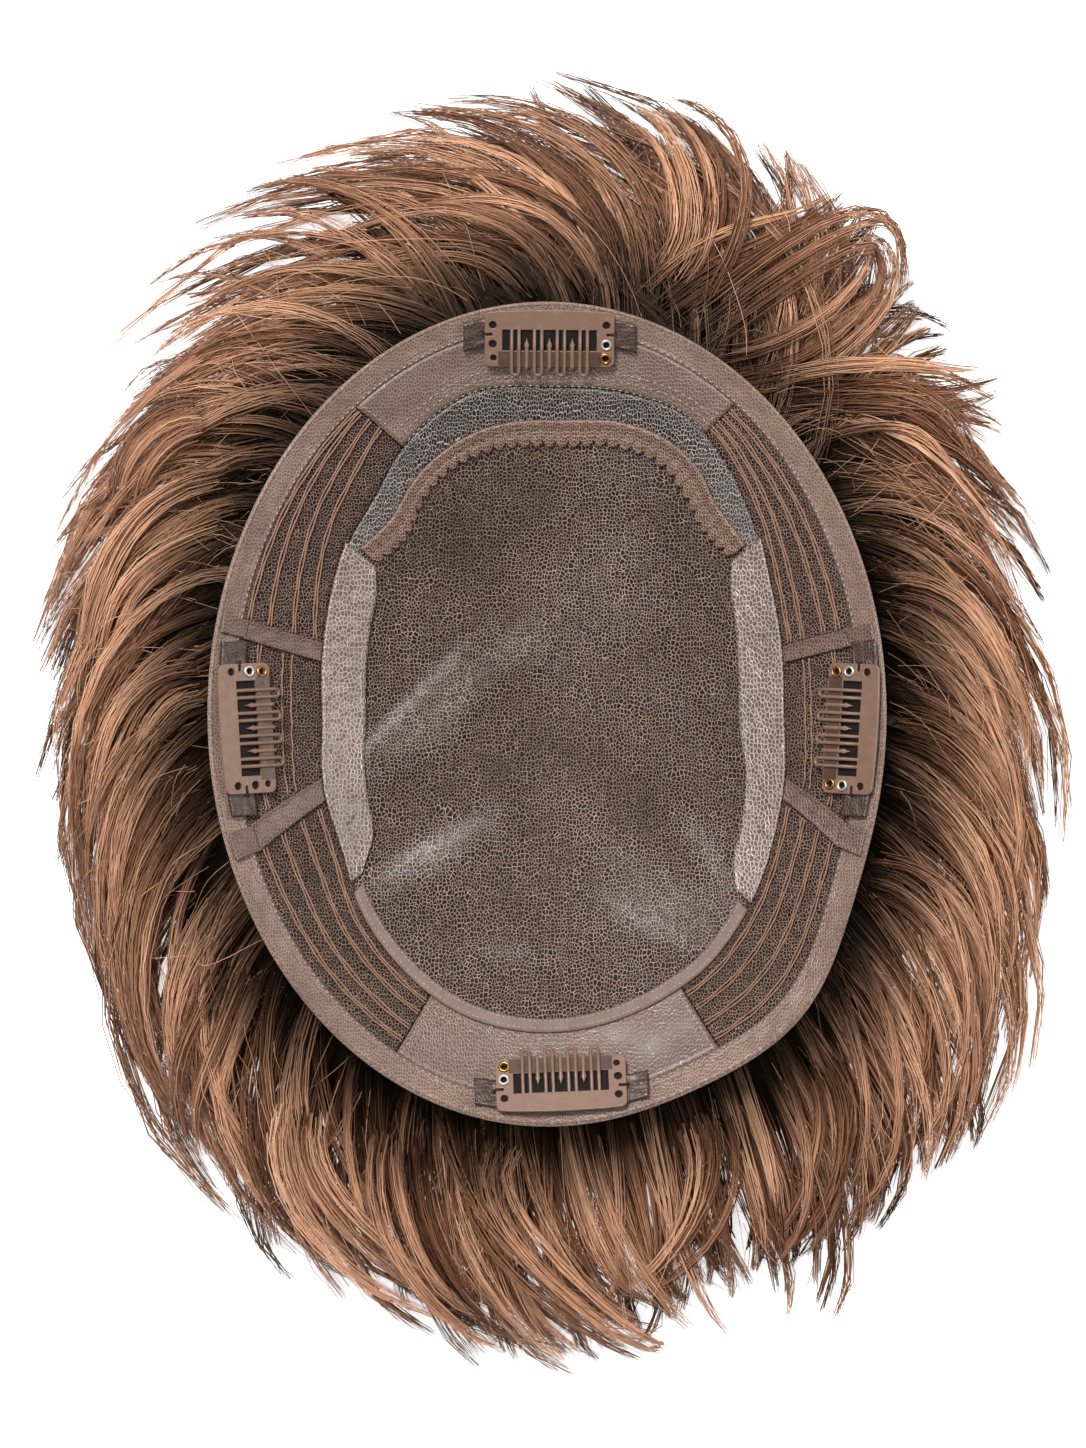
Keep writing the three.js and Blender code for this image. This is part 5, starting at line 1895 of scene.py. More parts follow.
@dataclass
class ClipSeat:
    """The frame of a clip: X along it, Y from its outer edge to its teeth, Z away from the base."""

    form: BaseForm
    place: ClipPlace
    depth: float
    length: float
    band_thickness: float = 1.6

    def __post_init__(self) -> None:
        """Works out the directions and the lift that clears the cloth."""
        form = self.form
        outer = 1 - form.share(self.place.inset, self.place.angle)
        middle_share = outer - form.share(self.depth / 2, self.place.angle)
        self.start = form.at_share(np.array(self.place.angle), outer, 0.0, False)
        middle = form.at_share(np.array(self.place.angle), middle_share, 0.0, False)
        normal = form.at_share(np.array(self.place.angle), middle_share, 1.0, False) - middle
        self.normal = normal / np.linalg.norm(normal)
        inwards = middle - self.start
        inwards = inwards - self.normal * inwards.dot(self.normal)
        self.inwards = inwards / np.linalg.norm(inwards)
        self.along = np.cross(self.inwards, self.normal)
        x, y = np.meshgrid(np.linspace(-self.length / 2, self.length / 2, 9), np.linspace(0, self.depth, 3))
        heights = (self.on_cloth(x, y, self.band_thickness) - self.start) @ self.normal
        self.lift = float(heights.max()) + form.clearance + form.cloth + form.clearance

    def on_cloth(self, x: np.ndarray, y: np.ndarray, lift: float) -> np.ndarray:
        """Returns points on the cloth under places of the clip."""
        flat = self.start + x[..., None] * self.along + y[..., None] * self.inwards
        return self.form.on_bowl(flat[..., 0], flat[..., 1], np.full(x.shape, lift), False)

    def out(self, points: np.ndarray) -> np.ndarray:
        """Returns points of the clip's frame as points about the base's middle."""
        origin = self.start + self.normal * self.lift
        level = points[..., :1] * self.along + points[..., 1:2] * self.inwards
        return origin + level + points[..., 2:3] * self.normal


@dataclass
class SnapClip:
    """A stamped snap clip with its sewing tape, eyelets and threads."""

    shop: Workshop
    place: ClipPlace
    length: float = 31.9
    depth: float = 13.8
    sheet: float = 0.8
    plate: float = 4.5
    bar: float = 4.0
    bow: float = 0.5
    corner: float = 1.6
    window: float = 23.2
    loop_pitch: float = 5.6
    loop_width: float = 2.7
    wire: float = 0.9
    loop_reach: float = 2.5
    loops: int = 4
    notch_width: float = 0.7
    notch_length: float = 1.9
    holes: tuple[tuple[float, float, float], ...] = ((2.0, 3.3, 0.95), (2.0, 8.1, 1.0), (2.2, 11.6, 0.8))
    tape_width: float = 7.0
    tape_length: float = 43.0
    eyelet_bore: float = 0.75
    eyelet_outer: float = 1.45
    eyelet_rise: float = 0.3
    thread_width: float = 0.22
    plate_bevel: float = 0.14
    fine_bevel: float = 0.03
    bar_half: float = 0.08
    shade_half: float = 0.09
    shade_drop: float = 0.24
    loop_height: float = 0.62
    tongue_width: float = 1.0
    tongue_height: float = 0.5

    def make(self) -> None:
        """Builds the tape, the clip, its eyelets and its threads."""
        self.seat = ClipSeat(self.shop.form, self.place, self.depth, self.length)
        self._tape()
        parts = [self._plate()]
        for n in range(self.loops):
            middle = (n - (self.loops - 1) / 2) * self.loop_pitch
            parts.append(self._loop(middle))
            if n < self.loops - 1:
                parts.append(self._tongue(middle + self.loop_pitch / 2))
        clip = joined(f"clip_{self.place.name}_steel", parts)
        self.shop.dress(clip, COATED, "coated_steel", f"clip_{self.place.name}")
        # The bar under the loops takes the darker copy of the plate's finish as painted shade.
        foot = self.depth - self.bar
        face = self._box(self.window + 2, foot + 0.1, self.depth - 0.3)
        bar = self._stamped(f"clip_{self.place.name}_bar", [face], self.bar_half, self.fine_bevel)
        self._lift(bar, self.sheet)
        self.shop.dress(bar, SHADED_BAR, "coated_steel")
        # A dark sheet under the window and the holes: painted shade.
        ground = self._box(self.length - 1.4, 1.6, 12.7)
        shade = self._stamped(f"clip_{self.place.name}_shade", [ground], self.shade_half, self.fine_bevel)
        self._lift(shade, -self.shade_drop)
        self.shop.dress(shade, SHADE, "clip_tape")
        for n, (end, hole, metal) in enumerate(self.place.eyelets, 1):
            self._eyelet(f"eyelet_{self.place.name}_{n}", end, hole, metal)
        self._threads()

    @staticmethod
    def _box(length: float, start: float, end: float) -> list[tuple[float, float]]:
        """Returns a rectangle across the clip's middle."""
        return [(-length / 2, start), (length / 2, start), (length / 2, end), (-length / 2, end)]

    def _lift(self, made: bpy.types.Object, height: float) -> None:
        """Moves a mesh away from the clip's seat."""
        made.data.transform(Matrix.Translation(Vector(self.seat.normal * height * MM)))

    def _tape(self) -> None:
        """Builds the dark tape between the clip and the band."""
        form = self.shop.form
        seat = self.seat
        u, v = np.meshgrid(np.linspace(0, 1, 72), np.linspace(0, 1, 13), indexing="ij")
        x = (u - 0.5) * self.tape_length
        y = self.bow + v * self.tape_width + x**2 / (2 * self.place.bend)
        low = seat.on_cloth(x, y, seat.band_thickness + form.clearance)
        room = seat.lift - form.clearance - (low - seat.start) @ seat.normal
        away = np.abs(x) > self.length / 2
        fray = np.where(away, 0.1 * ripple(x, y, 3, 41), 0.0)
        high = low + seat.normal * (np.maximum(room, form.cloth) + fray)[..., None]
        made = cloth_wall(f"clip_tape_{self.place.name}_weave", low, high, form)
        self.shop.dress(made, TAPE, "clip_tape", f"clip_tape_{self.place.name}")

    def _outline(self) -> list[tuple[float, float]]:
        """Returns the plate's outline with its bowed outer edge and notched ends."""
        half = self.length / 2
        steps = 6
        points = []
        for k in range(13):
            t = k / 12
            x = -half + self.corner + (self.length - 2 * self.corner) * t
            points.append((x, -4 * self.bow * t * (1 - t)))
        notch = (self.holes[0][1] + self.holes[1][1] - self.notch_width) / 2
        for k in range(1, steps + 1):
            points.append(self._rounded(self.corner, -math.pi / 2 + math.pi / 2 * k / steps))
        points += [(half, notch), (half - self.notch_length, notch)]
        points += [(half - self.notch_length, notch + self.notch_width), (half, notch + self.notch_width)]
        for k in range(0, steps + 1):
            points.append(self._rounded(self.depth - self.corner, math.pi / 2 * k / steps))
        right = [point for point in points if point[0] > 0]
        mirrored = [(-x, y) for x, y in reversed(right)]
        bottom = [point for point in points if point[0] <= 0]
        return bottom + right + mirrored[: -(len(bottom) - 1)]

    def _rounded(self, across: float, turn: float) -> tuple[float, float]:
        """Returns a point of the rounded corner whose middle lies at a depth."""
        out = self.length / 2 - self.corner + self.corner * math.cos(turn)
        return out, across + self.corner * math.sin(turn)

    def _plate(self) -> bpy.types.Object:
        """Builds the stamped plate with rounded edges."""
        rings = [self._outline(), self._box(self.window, self.plate, self.depth - self.bar)]
        for end in (-1, 1):
            for out, across, radius in self.holes:
                middle = end * (self.length / 2 - out)
                turn = [2 * math.pi * k / 16 for k in range(16)]
                rings.append([(middle + radius * math.cos(a), across + radius * math.sin(a)) for a in turn])
        return self._stamped(f"clip_{self.place.name}_plate", rings, self.sheet / 2, self.plate_bevel)

    def _stamped(
        self, name: str, rings: Sequence[Sequence[tuple[float, float]]], half: float, bevel: float
    ) -> bpy.types.Object:
        """Builds a flat sheet with rounded edges from closed rings in the clip's frame.

        Args:
            name: the object's name.
            rings: the outline first and then the holes.
            half: half of the sheet's thickness.
            bevel: radius of its rounded edges.

        Returns:
            The object, which lies on the clip's seat.
        """
        curve = bpy.data.curves.new(name, "CURVE")
        curve.dimensions = "2D"
        curve.fill_mode = "BOTH"
        curve.extrude = half - bevel
        curve.bevel_depth = bevel
        curve.bevel_resolution = 1
        curve.offset = -bevel
        for ring in rings:
            spline = curve.splines.new("POLY")
            spline.points.add(len(ring) - 1)
            spline.points.foreach_set("co", [c for x, y in ring for c in (x, y, 0.0, 1.0)])
            spline.use_cyclic_u = True
        source = bpy.data.objects.new(name, curve)
        bpy.context.scene.collection.objects.link(source)
        bpy.context.view_layer.update()
        raw = bpy.data.meshes.new_from_object(source.evaluated_get(bpy.context.evaluated_depsgraph_get()))
        points = np.array([v.co for v in raw.vertices], float)
        faces = [tuple(face.vertices) for face in raw.polygons]
        bpy.data.objects.remove(source)
        bpy.data.meshes.remove(raw)
        bpy.data.curves.remove(curve)
        keys, welded = np.unique(np.round(points, 4), axis=0, return_inverse=True)
        welded = welded.reshape(-1)
        kept = []
        for face in faces:
            corners = list(dict.fromkeys(int(welded[k]) for k in face))
            if len(corners) > 2:
                kept.append(tuple(corners))
        lifted = keys + np.array([0.0, 0.0, half])
        return outward(write_mesh(name, self.seat.out(lifted), kept, self.shop.form, smooth=False))

    def _wire(
        self, name: str, places: Sequence[np.ndarray], width: float, height: float, **more: object
    ) -> bpy.types.Object:
        """Builds a bar through places of the clip's frame.

        Args:
            name: the object's name.
            places: X, Y and Z of the places.
            width: the bar's width.
            height: its height.
            **more: what else the bar is told.

        Returns:
            The bar.
        """
        path = self.seat.out(np.stack(places, axis=-1))
        up = np.broadcast_to(self.seat.normal, path.shape)
        return tube(name, path, up, width, height, self.shop.form, **more)

    def _loop(self, middle: float) -> bpy.types.Object:
        """Builds one hairpin of flat wire from the plate over the bar."""
        half = (self.loop_width - self.wire) / 2
        tip = self.depth + self.loop_reach - self.wire / 2
        start = self.plate - 0.6
        leg = np.linspace(start, tip - half, 12)
        turn = np.linspace(math.pi, 0, 9)[1:-1]
        x = np.concatenate([np.full(12, -half), half * np.cos(turn), np.full(12, half)])
        y = np.concatenate([leg, tip - half + half * np.sin(turn), leg[::-1]])
        over = np.clip((y - self.plate) / 4.0, 0, 1)
        fall = np.clip((y - self.depth) / self.loop_reach, 0, 1)
        z = self.sheet * 0.6 + 1.0 * over**1.5 - 0.4 * fall**2
        return self._wire(f"loop_{self.place.name}", (x + middle, y, z), self.wire, self.loop_height)

    def _tongue(self, middle: float) -> bpy.types.Object:
        """Builds one pointed tongue from the bar's foot up between two hairpins."""
        tip = self.plate + 2.2
        head = 1.7
        shaft = np.linspace(tip + head + 0.4, self.depth + 0.5, 9)
        y = np.concatenate([np.linspace(tip, tip + head, 6), shaft])
        widen = np.clip((y - tip) / head, 0.16, 1) * 1.45
        scale = np.where(y < tip + head + 0.1, widen, 1.0)
        z = self.sheet * 0.75 + 0.45 * np.clip((y - tip) / 3.0, 0, 1)
        places = (np.full_like(y, middle), y, z)
        return self._wire(f"tongue_{self.place.name}", places, self.tongue_width, self.tongue_height, widths=scale)

    def _eyelet(self, name: str, end: int, hole: int, metal: str) -> None:
        """Builds one rolled metal ring in a hole of the clip.

        Args:
            name: name of the CAD node.
            end: -1 or 1, the clip's end.
            hole: number of the hole.
            metal: steel or brass.
        """
        out, across, _ = self.holes[hole - 1]
        centre = np.array([end * (self.length / 2 - out), across, self.sheet + 0.3])
        ring = np.linspace(0, 2 * math.pi, 32, endpoint=False)
        section = np.linspace(0, 2 * math.pi, 10, endpoint=False)
        middle = (self.eyelet_bore + self.eyelet_outer) / 2
        radius = middle + (self.eyelet_outer - self.eyelet_bore) / 2 * np.cos(section)[None, :]
        round_hole = np.stack(
            [
                radius * np.cos(ring)[:, None],
                radius * np.sin(ring)[:, None],
                self.eyelet_rise * np.sin(section)[None, :] + 0 * ring[:, None],
            ],
            axis=-1,
        )
        points = (centre + round_hole).reshape(-1, 3)
        faces = ring_faces(len(ring), len(section), closed=True)
        made = outward(write_mesh(f"{name}_ring", self.seat.out(points), faces, self.shop.form))
        self.shop.dress(made, STEEL if metal == "steel" else BRASS, metal, name)

    def _threads(self) -> None:
        """Builds the sewing threads that are wound through the notches."""
        rng = np.random.default_rng(60 + int(self.place.angle))
        notch = (self.holes[0][1] + self.holes[1][1]) / 2
        parts = []
        for end in (-1, 1):
            for _ in range(4):
                t = np.linspace(0, 1, 7)
                x = end * (self.length / 2 + np.interp(t, [0, 1], [-self.notch_length + 0.3, 1.0]))
                y = notch + rng.uniform(-0.25, 0.25) + t * rng.uniform(-0.9, 0.9)
                z = np.interp(t, [0, 0.35, 0.7, 1], [0.1, self.sheet * 0.9, self.sheet * 0.7, -0.8])
                parts.append(self._wire("thread", (x, y, z), self.thread_width, self.thread_width, sides=5))
        threads = joined(f"clip_{self.place.name}_threads", parts)
        self.shop.dress(threads, DARK_THREAD, "clip_tape")


# Hair


HAIR_FLOW = (
    (0, 0.78, -31), (18, 0.77, -31), (36, 0.8, -14), (52, 0.87, -2), (66, 0.94, 8), (82, 0.97, 18),
    (104, 0.95, 27), (120, 0.98, 30), (138, 0.84, 31), (156, 0.82, 31), (180, 0.78, 30), (200, 0.77, 28),
    (222, 0.84, 27), (242, 0.93, 27), (256, 1.04, 25), (270, 1.08, 18), (286, 1.06, 2), (300, 1.06, -15),
    (318, 0.94, -27), (340, 0.79, -31),
)
HAIR_HEAP = ((-0.05, 0.88), (0.06, 0.79), (0.3, 0.6), (0.56, 0.34), (0.64, 0.1), (0.56, 0.004))


@dataclass(frozen=True)
class LockTier:
    """One layer of locks; heights are shares of the rim's height, reach is a share of the hair's reach."""

    count: int
    first: float
    last: float
    turn: float
    width: float
    thickness: float
    root_height: float
    tip_height: float
    hump: float
    reach: float
    bundles: int
    strands: int
    light: float
    salt: int = 0
    girth: float = 1.0
    stations: int = 8


# The light value of a layer is its tone; the lower layers have lower values, as painted shade under the upper
# locks.
LOCK_LAYERS = {
    "under": (
        LockTier(50, 0, 360, 1, 15, 3, 0.3, 0.02, 0, 0.88, 4, 6, 0.2, 60, 3.4, 6),
        LockTier(32, 0, 360, 1, 25, 11, 0.46, 0.06, 0.03, 1.12, 6, 14, 0.38, 0, 1.5, 6),
    ),
    "middle": (LockTier(25, 5, 365, 1, 20, 8, 0.74, 0.24, 0.1, 1.0, 5, 22, 0.5),),
    "bottom": (
        LockTier(5, 251, 291, 0.7, 22, 9, 0.62, 0.14, 0.1, 1.04, 4, 22, 0.54),
        LockTier(14, 262, 318, 0.3, 20, 8, 0.5, 0.06, 0.05, 1.06, 5, 18, 0.42, 80, 1.3),
        LockTier(10, 266, 312, 0.45, 12, 5, 0.72, 0.18, 0.1, 1.0, 3, 20, 0.56, 90),
    ),
    "upper": (LockTier(46, 3, 363, 1.15, 8, 4, 0.82, 0.3, 0.14, 0.9, 2, 22, 0.58, 20),),
    "over": (LockTier(58, 0, 360, 0.9, 9, 4, 0.7, 0.14, 0.14, 1.08, 2, 16, 0.54, 40),),
}
DRAWN_TIER = LockTier(1, 0, 0, 1, 12, 5, 0.84, 0.3, 0.12, 1, 3, 26, 0.62, stations=9)


@dataclass(frozen=True)
class DrawnLock:
    """A lock that is seen singly in the photograph: its way over the plan from root to tip, and its tone."""

    way: tuple[tuple[float, float], ...]
    light: float = 0.66
    size: float = 1.0


DRAWN_LOCKS = (
    DrawnLock(((24, 104), (18, 126), (3, 142), (-18, 149), (-38, 150)), 0.62, 1.1),
    DrawnLock(((14, 103), (0, 123), (-22, 129), (-46, 126)), 0.52),
    DrawnLock(((-2, 103), (-18, 117), (-42, 117), (-68, 108)), 0.6),
    DrawnLock(((30, 107), (37, 120), (36, 133), (30, 146), (22, 151)), 0.7, 0.9),
    DrawnLock(((36, 104), (44, 126), (40, 142), (28, 152)), 0.6),
    DrawnLock(((26, 100), (45, 114), (61, 121), (76, 134)), 0.66),
    DrawnLock(((34, 94), (57, 108), (74, 122), (84, 121), (88, 108), (82, 84)), 0.72, 0.9),
    DrawnLock(((42, 84), (60, 88), (76, 98), (84, 112), (78, 121)), 0.62, 0.9),
    DrawnLock(((56, 78), (80, 80), (98, 80), (118, 85)), 0.68),
    DrawnLock(((64, 70), (86, 74), (100, 66), (108, 50)), 0.6),
    DrawnLock(((-77, 56), (-94, 50), (-106, 35), (-112, 18), (-114, 2)), 0.8, 1.1),
    DrawnLock(((-84, 72), (-97, 68), (-104, 57), (-104, 44)), 0.72),
    DrawnLock(((-78, 44), (-96, 34), (-106, 20), (-110, 4)), 0.66),
    DrawnLock(((-84, 8), (-100, 0), (-108, -18), (-110, -36)), 0.74),
    DrawnLock(((-74, -62), (-82, -80), (-86, -98), (-80, -118)), 0.7),
    DrawnLock(((-60, -96), (-60, -113), (-51, -127), (-35, -141), (-18, -151)), 0.74, 1.1),
    DrawnLock(((-36, -103), (-35, -123), (-25, -143), (-6, -155)), 0.72),
    DrawnLock(((-11, -104), (-13, -120), (-1, -141), (20, -154), (28, -158)), 0.76, 1.1),
    DrawnLock(((38, -98), (41, -116), (33, -133), (17, -145)), 0.62),
    DrawnLock(((66, -84), (72, -102), (66, -122), (50, -138)), 0.66),
    DrawnLock(((84, 30), (100, 24), (112, 8), (122, -12)), 0.76),
    DrawnLock(((84, -4), (100, -10), (112, -26), (116, -48)), 0.7),
    DrawnLock(((78, -40), (94, -48), (104, -66), (104, -86)), 0.66),
)


def scatter(index: int, salt: int) -> float:
    """Returns a fixed scatter between -0.5 and 0.5 for each lock."""
    value = math.sin(index * 12.9898 + salt * 78.233) * 43758.5453
    return value - math.floor(value) - 0.5


class StrandTool(NodeTool):
    """Gives each chain of edges a fine three-sided body."""

    def _bodies(self, bench: NodeBench, start: bpy.types.Node) -> bpy.types.NodeSocket:
        """Adds a capped body along each chain."""
        curves = bench.add("GeometryNodeMeshToCurve")
        bench.join(start.outputs["Geometry"], curves.inputs["Mesh"])
        profile = bench.add("GeometryNodeCurvePrimitiveCircle")
        profile.inputs["Resolution"].default_value = 3
        bench.join(start.outputs["Thickness"], profile.inputs["Radius"])
        body = bench.add("GeometryNodeCurveToMesh")
        body.inputs["Fill Caps"].default_value = True
        bench.join(curves.outputs["Curve"], body.inputs["Curve"])
        bench.join(profile.outputs["Curve"], body.inputs["Profile Curve"])
        bench.join(named_attribute(bench, "girth", "FLOAT"), body.inputs["Scale"])
        return self._smooth(bench, body.outputs["Mesh"])


@dataclass
class Strands:
    """Paths of hair with the look of each."""

    path: np.ndarray
    tone: np.ndarray
    girth: np.ndarray
    shade: np.ndarray

    @staticmethod
    def whole(parts: Sequence["Strands"]) -> "Strands":
        """Returns all parts as one."""
        joined_up = (np.concatenate([getattr(part, key.name) for part in parts]) for key in fields(Strands))
        return Strands(*joined_up)


@dataclass
class HairGrower:
    """The hair round and under the base."""

    shop: Workshop
    reach: float = 50.0
    top_gap: float = 0.8
    strand_width: float = 0.29
    flyaways: int = 1100
    flyaway_stations: int = 15
    quick_share: int = 3
    sweep_scatter: float = 0.6
    reach_scatter: float = 0.24
    size_scatter: float = 0.25
    tone_scatter: float = 0.36
    end_curl: float = 0.12
    mass_reach: float = 0.7
    mass_inset: float = 0.05
    mass_height: float = 0.8
    floor_gap: float = 0.3
    shade_from: float = 2.0
    shade_length: float = 22.0
    shade_height: float = 26.0
    shade_near: float = 1.4
    shade_low: float = 0.85

    def __post_init__(self) -> None:
        """Reads the flow tables."""
        self.reach_at = column_curve(HAIR_FLOW, 1, Fit.CLOSED)
        self.sweep_at = column_curve(HAIR_FLOW, 2, Fit.CLOSED)
        self.rng = np.random.default_rng(7)
        self.tool = StrandTool("strands_on_paths")

    def make(self) -> None:
        """Builds the mass under the base and all strands."""
        self._mass()
        for layer, tiers in LOCK_LAYERS.items():
            grown = [self._lock(tier, index) for tier in tiers for index in range(tier.count)]
            self._piece(f"hair_{layer}", Strands.whole(grown))
        self._piece("hair_drawn", Strands.whole([self._drawn(lock) for lock in DRAWN_LOCKS]))
        self._piece("hair_loose", self._flyaways())

    def _mass(self) -> None:
        """Builds the dark mass that fills the room between the locks, coloured as painted shade."""
        form = self.shop.form
        angle = np.linspace(0, TURN, 180, endpoint=False)[:, None]
        shares = np.linspace(0.02, 0.97, 16)[None, :]
        top = form.at_share(angle + 0 * shares, shares + 0 * angle, -self.top_gap - 0.4, False)
        outs = np.array([row[0] for row in HAIR_HEAP])
        heights = np.array([row[1] for row in HAIR_HEAP])
        fine = np.linspace(0, len(outs) - 1, 22)
        out = np.interp(fine, np.arange(len(outs)), outs) * self.mass_reach - self.mass_inset
        high = np.interp(fine, np.arange(len(outs)), heights) * self.mass_height
        radius = form.rim_radius(angle) + out[None, :] * self.reach
        radius = radius * (1 + 0.02 * ripple(angle * 3, radius, 4, 51))
        side = np.stack([*polar(angle, radius), high[None, :] * form.rim_height(angle)], axis=-1)
        grid = np.concatenate([top, side], axis=1)
        rows, columns = grid.shape[:2]
        crown = float(form.height(np.array(0.0), np.array(0.0), False))
        middle_top = np.array([[0.0, 0.0, crown - 1.2]])
        foot = np.array([[0.0, 0.0, 0.15]])
        points = np.concatenate([grid.reshape(-1, 3), middle_top, foot])
        head, tail = rows * columns, rows * columns + 1
        faces = []
        for i in range(rows):
            k = (i + 1) % rows
            faces.append((head, i * columns, k * columns))
            for j in range(columns - 1):
                faces.append((i * columns + j, i * columns + j + 1, k * columns + j + 1, k * columns + j))
            faces.append((i * columns + columns - 1, tail, k * columns + columns - 1))
        made = outward(write_mesh("hair_mass", points, faces, form))
        # Its tone, and half of the painted shadow.
        for label, value in (("tone", 0.3), ("depth", 0.5)):
            write_values(made.data, label, np.full(len(points), value))
        self.shop.dress(made, HAIR_MASS, "hair", "hair")

    def _lock(self, tier: LockTier, index: int) -> Strands:
        """Grows the strands of one lock in a few tight bundles.

        Args:
            tier: the layer.
            index: number of the lock in its layer.

        Returns:
            Its strands.
        """
        form = self.shop.form
        rng = self.rng
        salt = tier.salt
        tip = tier.first + (tier.last - tier.first) * (index + 0.35 * scatter(index, 1 + salt)) / tier.count
        sweep = float(self.sweep_at(tip)) * tier.turn * (1 + self.sweep_scatter * scatter(index, 2 + salt))
        longer = 1 + self.reach_scatter * scatter(index, 3 + salt)
        reach = float(self.reach_at(tip)) * self.reach * tier.reach * longer
        size = 1 + self.size_scatter * scatter(index, 4 + salt)

        def route(s: np.ndarray, more: np.ndarray, bend: np.ndarray) -> np.ndarray:
            """Returns the middle line that leaves outwards and bends round."""
            turned = sweep * (1 + more) + 25 * more
            angle = (tip - turned) + turned * (s**bend + self.end_curl * s**4)
            root_radius = form.rim_radius(tip - turned) * 0.9
            end_radius = float(form.rim_radius(np.array(tip))) + reach
            radius = root_radius + (end_radius - root_radius) * (1 - (1 - s) ** 1.5)
            return np.stack(polar(angle, radius), axis=-1)

        light = tier.light + self.tone_scatter * scatter(index, 5 + salt)
        return self._bundles(tier, route, size, light)

    def _drawn(self, lock: DrawnLock) -> Strands:
        """Grows a lock along its own way over the plan."""
        knots = np.linspace(0, 1, len(lock.way))
        degree = min(3, len(lock.way) - 1)
        fits = [np.polyfit(knots, [point[k] for point in lock.way], degree) for k in range(2)]

        def route(s: np.ndarray, more: np.ndarray, bend: np.ndarray) -> np.ndarray:
            """Returns the smooth way through the knots."""
            return np.stack([np.polyval(fit, s) for fit in fits], axis=-1) * (1 + 0.06 * more * s)[..., None]

        return self._bundles(DRAWN_TIER, route, lock.size, lock.light - 0.08)

    def _bundles(self, tier: LockTier, route: Callable, size: float, light: float) -> Strands:
        """Grows a few tight bundles of strands along one way.

        Args:
            tier: the layer.
            route: a function of the place along a strand and two bends that gives points of the plan.
            size: share of the layer's width.
            light: the lock's tone.

        Returns:
            The strands.
        """
        form = self.shop.form
        rng = self.rng
        each = tier.strands
        count = each * tier.bundles
        bundle = np.repeat(np.arange(tier.bundles), each)

        def per_bundle(low: float, high: float) -> np.ndarray:
            """Returns one random value for each bundle, as a column for its strands."""
            return rng.uniform(low, high, tier.bundles)[bundle][:, None]

        place_a = np.linspace(-0.8, 0.8, tier.bundles)[bundle][:, None] + per_bundle(-0.2, 0.2)
        place_b = per_bundle(-0.5, 0.9)
        end = np.clip(per_bundle(0.8, 1.0)[:, 0] - rng.exponential(0.05, count), 0.5, 1.0)
        start = rng.uniform(0.0, 0.12, count)
        s = start[:, None] + (end - start)[:, None] * np.linspace(0, 1, tier.stations)[None, :]
        plan = route(s, per_bundle(-0.28, 0.32), per_bundle(1.05, 1.5))
        angle = np.degrees(np.arctan2(plan[..., 1], plan[..., 0]))
        hump = 4 * s * (1 - s) * tier.hump
        level = tier.root_height + (tier.tip_height - tier.root_height) * s**0.9 + hump
        height = level * form.rim_height(angle)
        middle = np.concatenate([plan, height[..., None]], axis=-1)
        ahead = np.gradient(middle, axis=1)
        side = np.stack([ahead[..., 1], -ahead[..., 0], np.zeros_like(angle)], axis=-1)
        side /= np.linalg.norm(side, axis=-1, keepdims=True)
        rise = np.cross(side, ahead)
        rise /= np.linalg.norm(rise, axis=-1, keepdims=True)
        taper = 0.3 + 0.7 * np.clip(np.sin(math.pi * (0.25 + 0.75 * s)), 0, 1) ** 0.8
        tight = 1 - 0.8 * s**1.6
        spin = rng.uniform(0, 2 * math.pi, count)[:, None]
        far = np.sqrt(rng.uniform(0, 1, count))[:, None]
        girth = per_bundle(1.6, 3.4)
        phase = rng.uniform(0, 2 * math.pi, count)[:, None]
        swing = per_bundle(0.2, 1.6)
        wave = swing * np.sin(2 * math.pi * per_bundle(0.6, 1.3) * s + per_bundle(0, 2 * math.pi))
        stray = rng.exponential(0.22, count)[:, None]
        own = stray * np.sin(2 * math.pi * rng.uniform(1, 2.6, count)[:, None] * s + phase)
        across = place_a * tier.width / 2 * size * taper + far * np.cos(spin) * girth * tight + wave * s
        above = place_b * tier.thickness / 2 * size * taper + far * np.sin(spin) * girth * 0.55 * tight + own
        path = middle + side * (across + own * (0.4 + 1.6 * s))[..., None] + rise * above[..., None]
        # Painted light on each bundle: a painted highlight on its top, painted shade on its underside and edges,
        # and more light for higher bundles.
        painted_bundle_light = 0.34 * np.sin(spin) * far - 0.12 * far**2 + 0.22 * (place_b - 0.2)
        tone = (light - 0.04 + per_bundle(-0.26, 0.26) + painted_bundle_light)[:, 0] + rng.normal(0, 0.09, count)
        # Share of painted shadow: lighter layers and higher bundles take less.
        shade = 1.3 - tier.light - 0.3 * (place_b[:, 0] - 0.2)
        return Strands(self._kept_clear(path), tone, rng.uniform(0.75, 1.25, count) * tier.girth, shade)

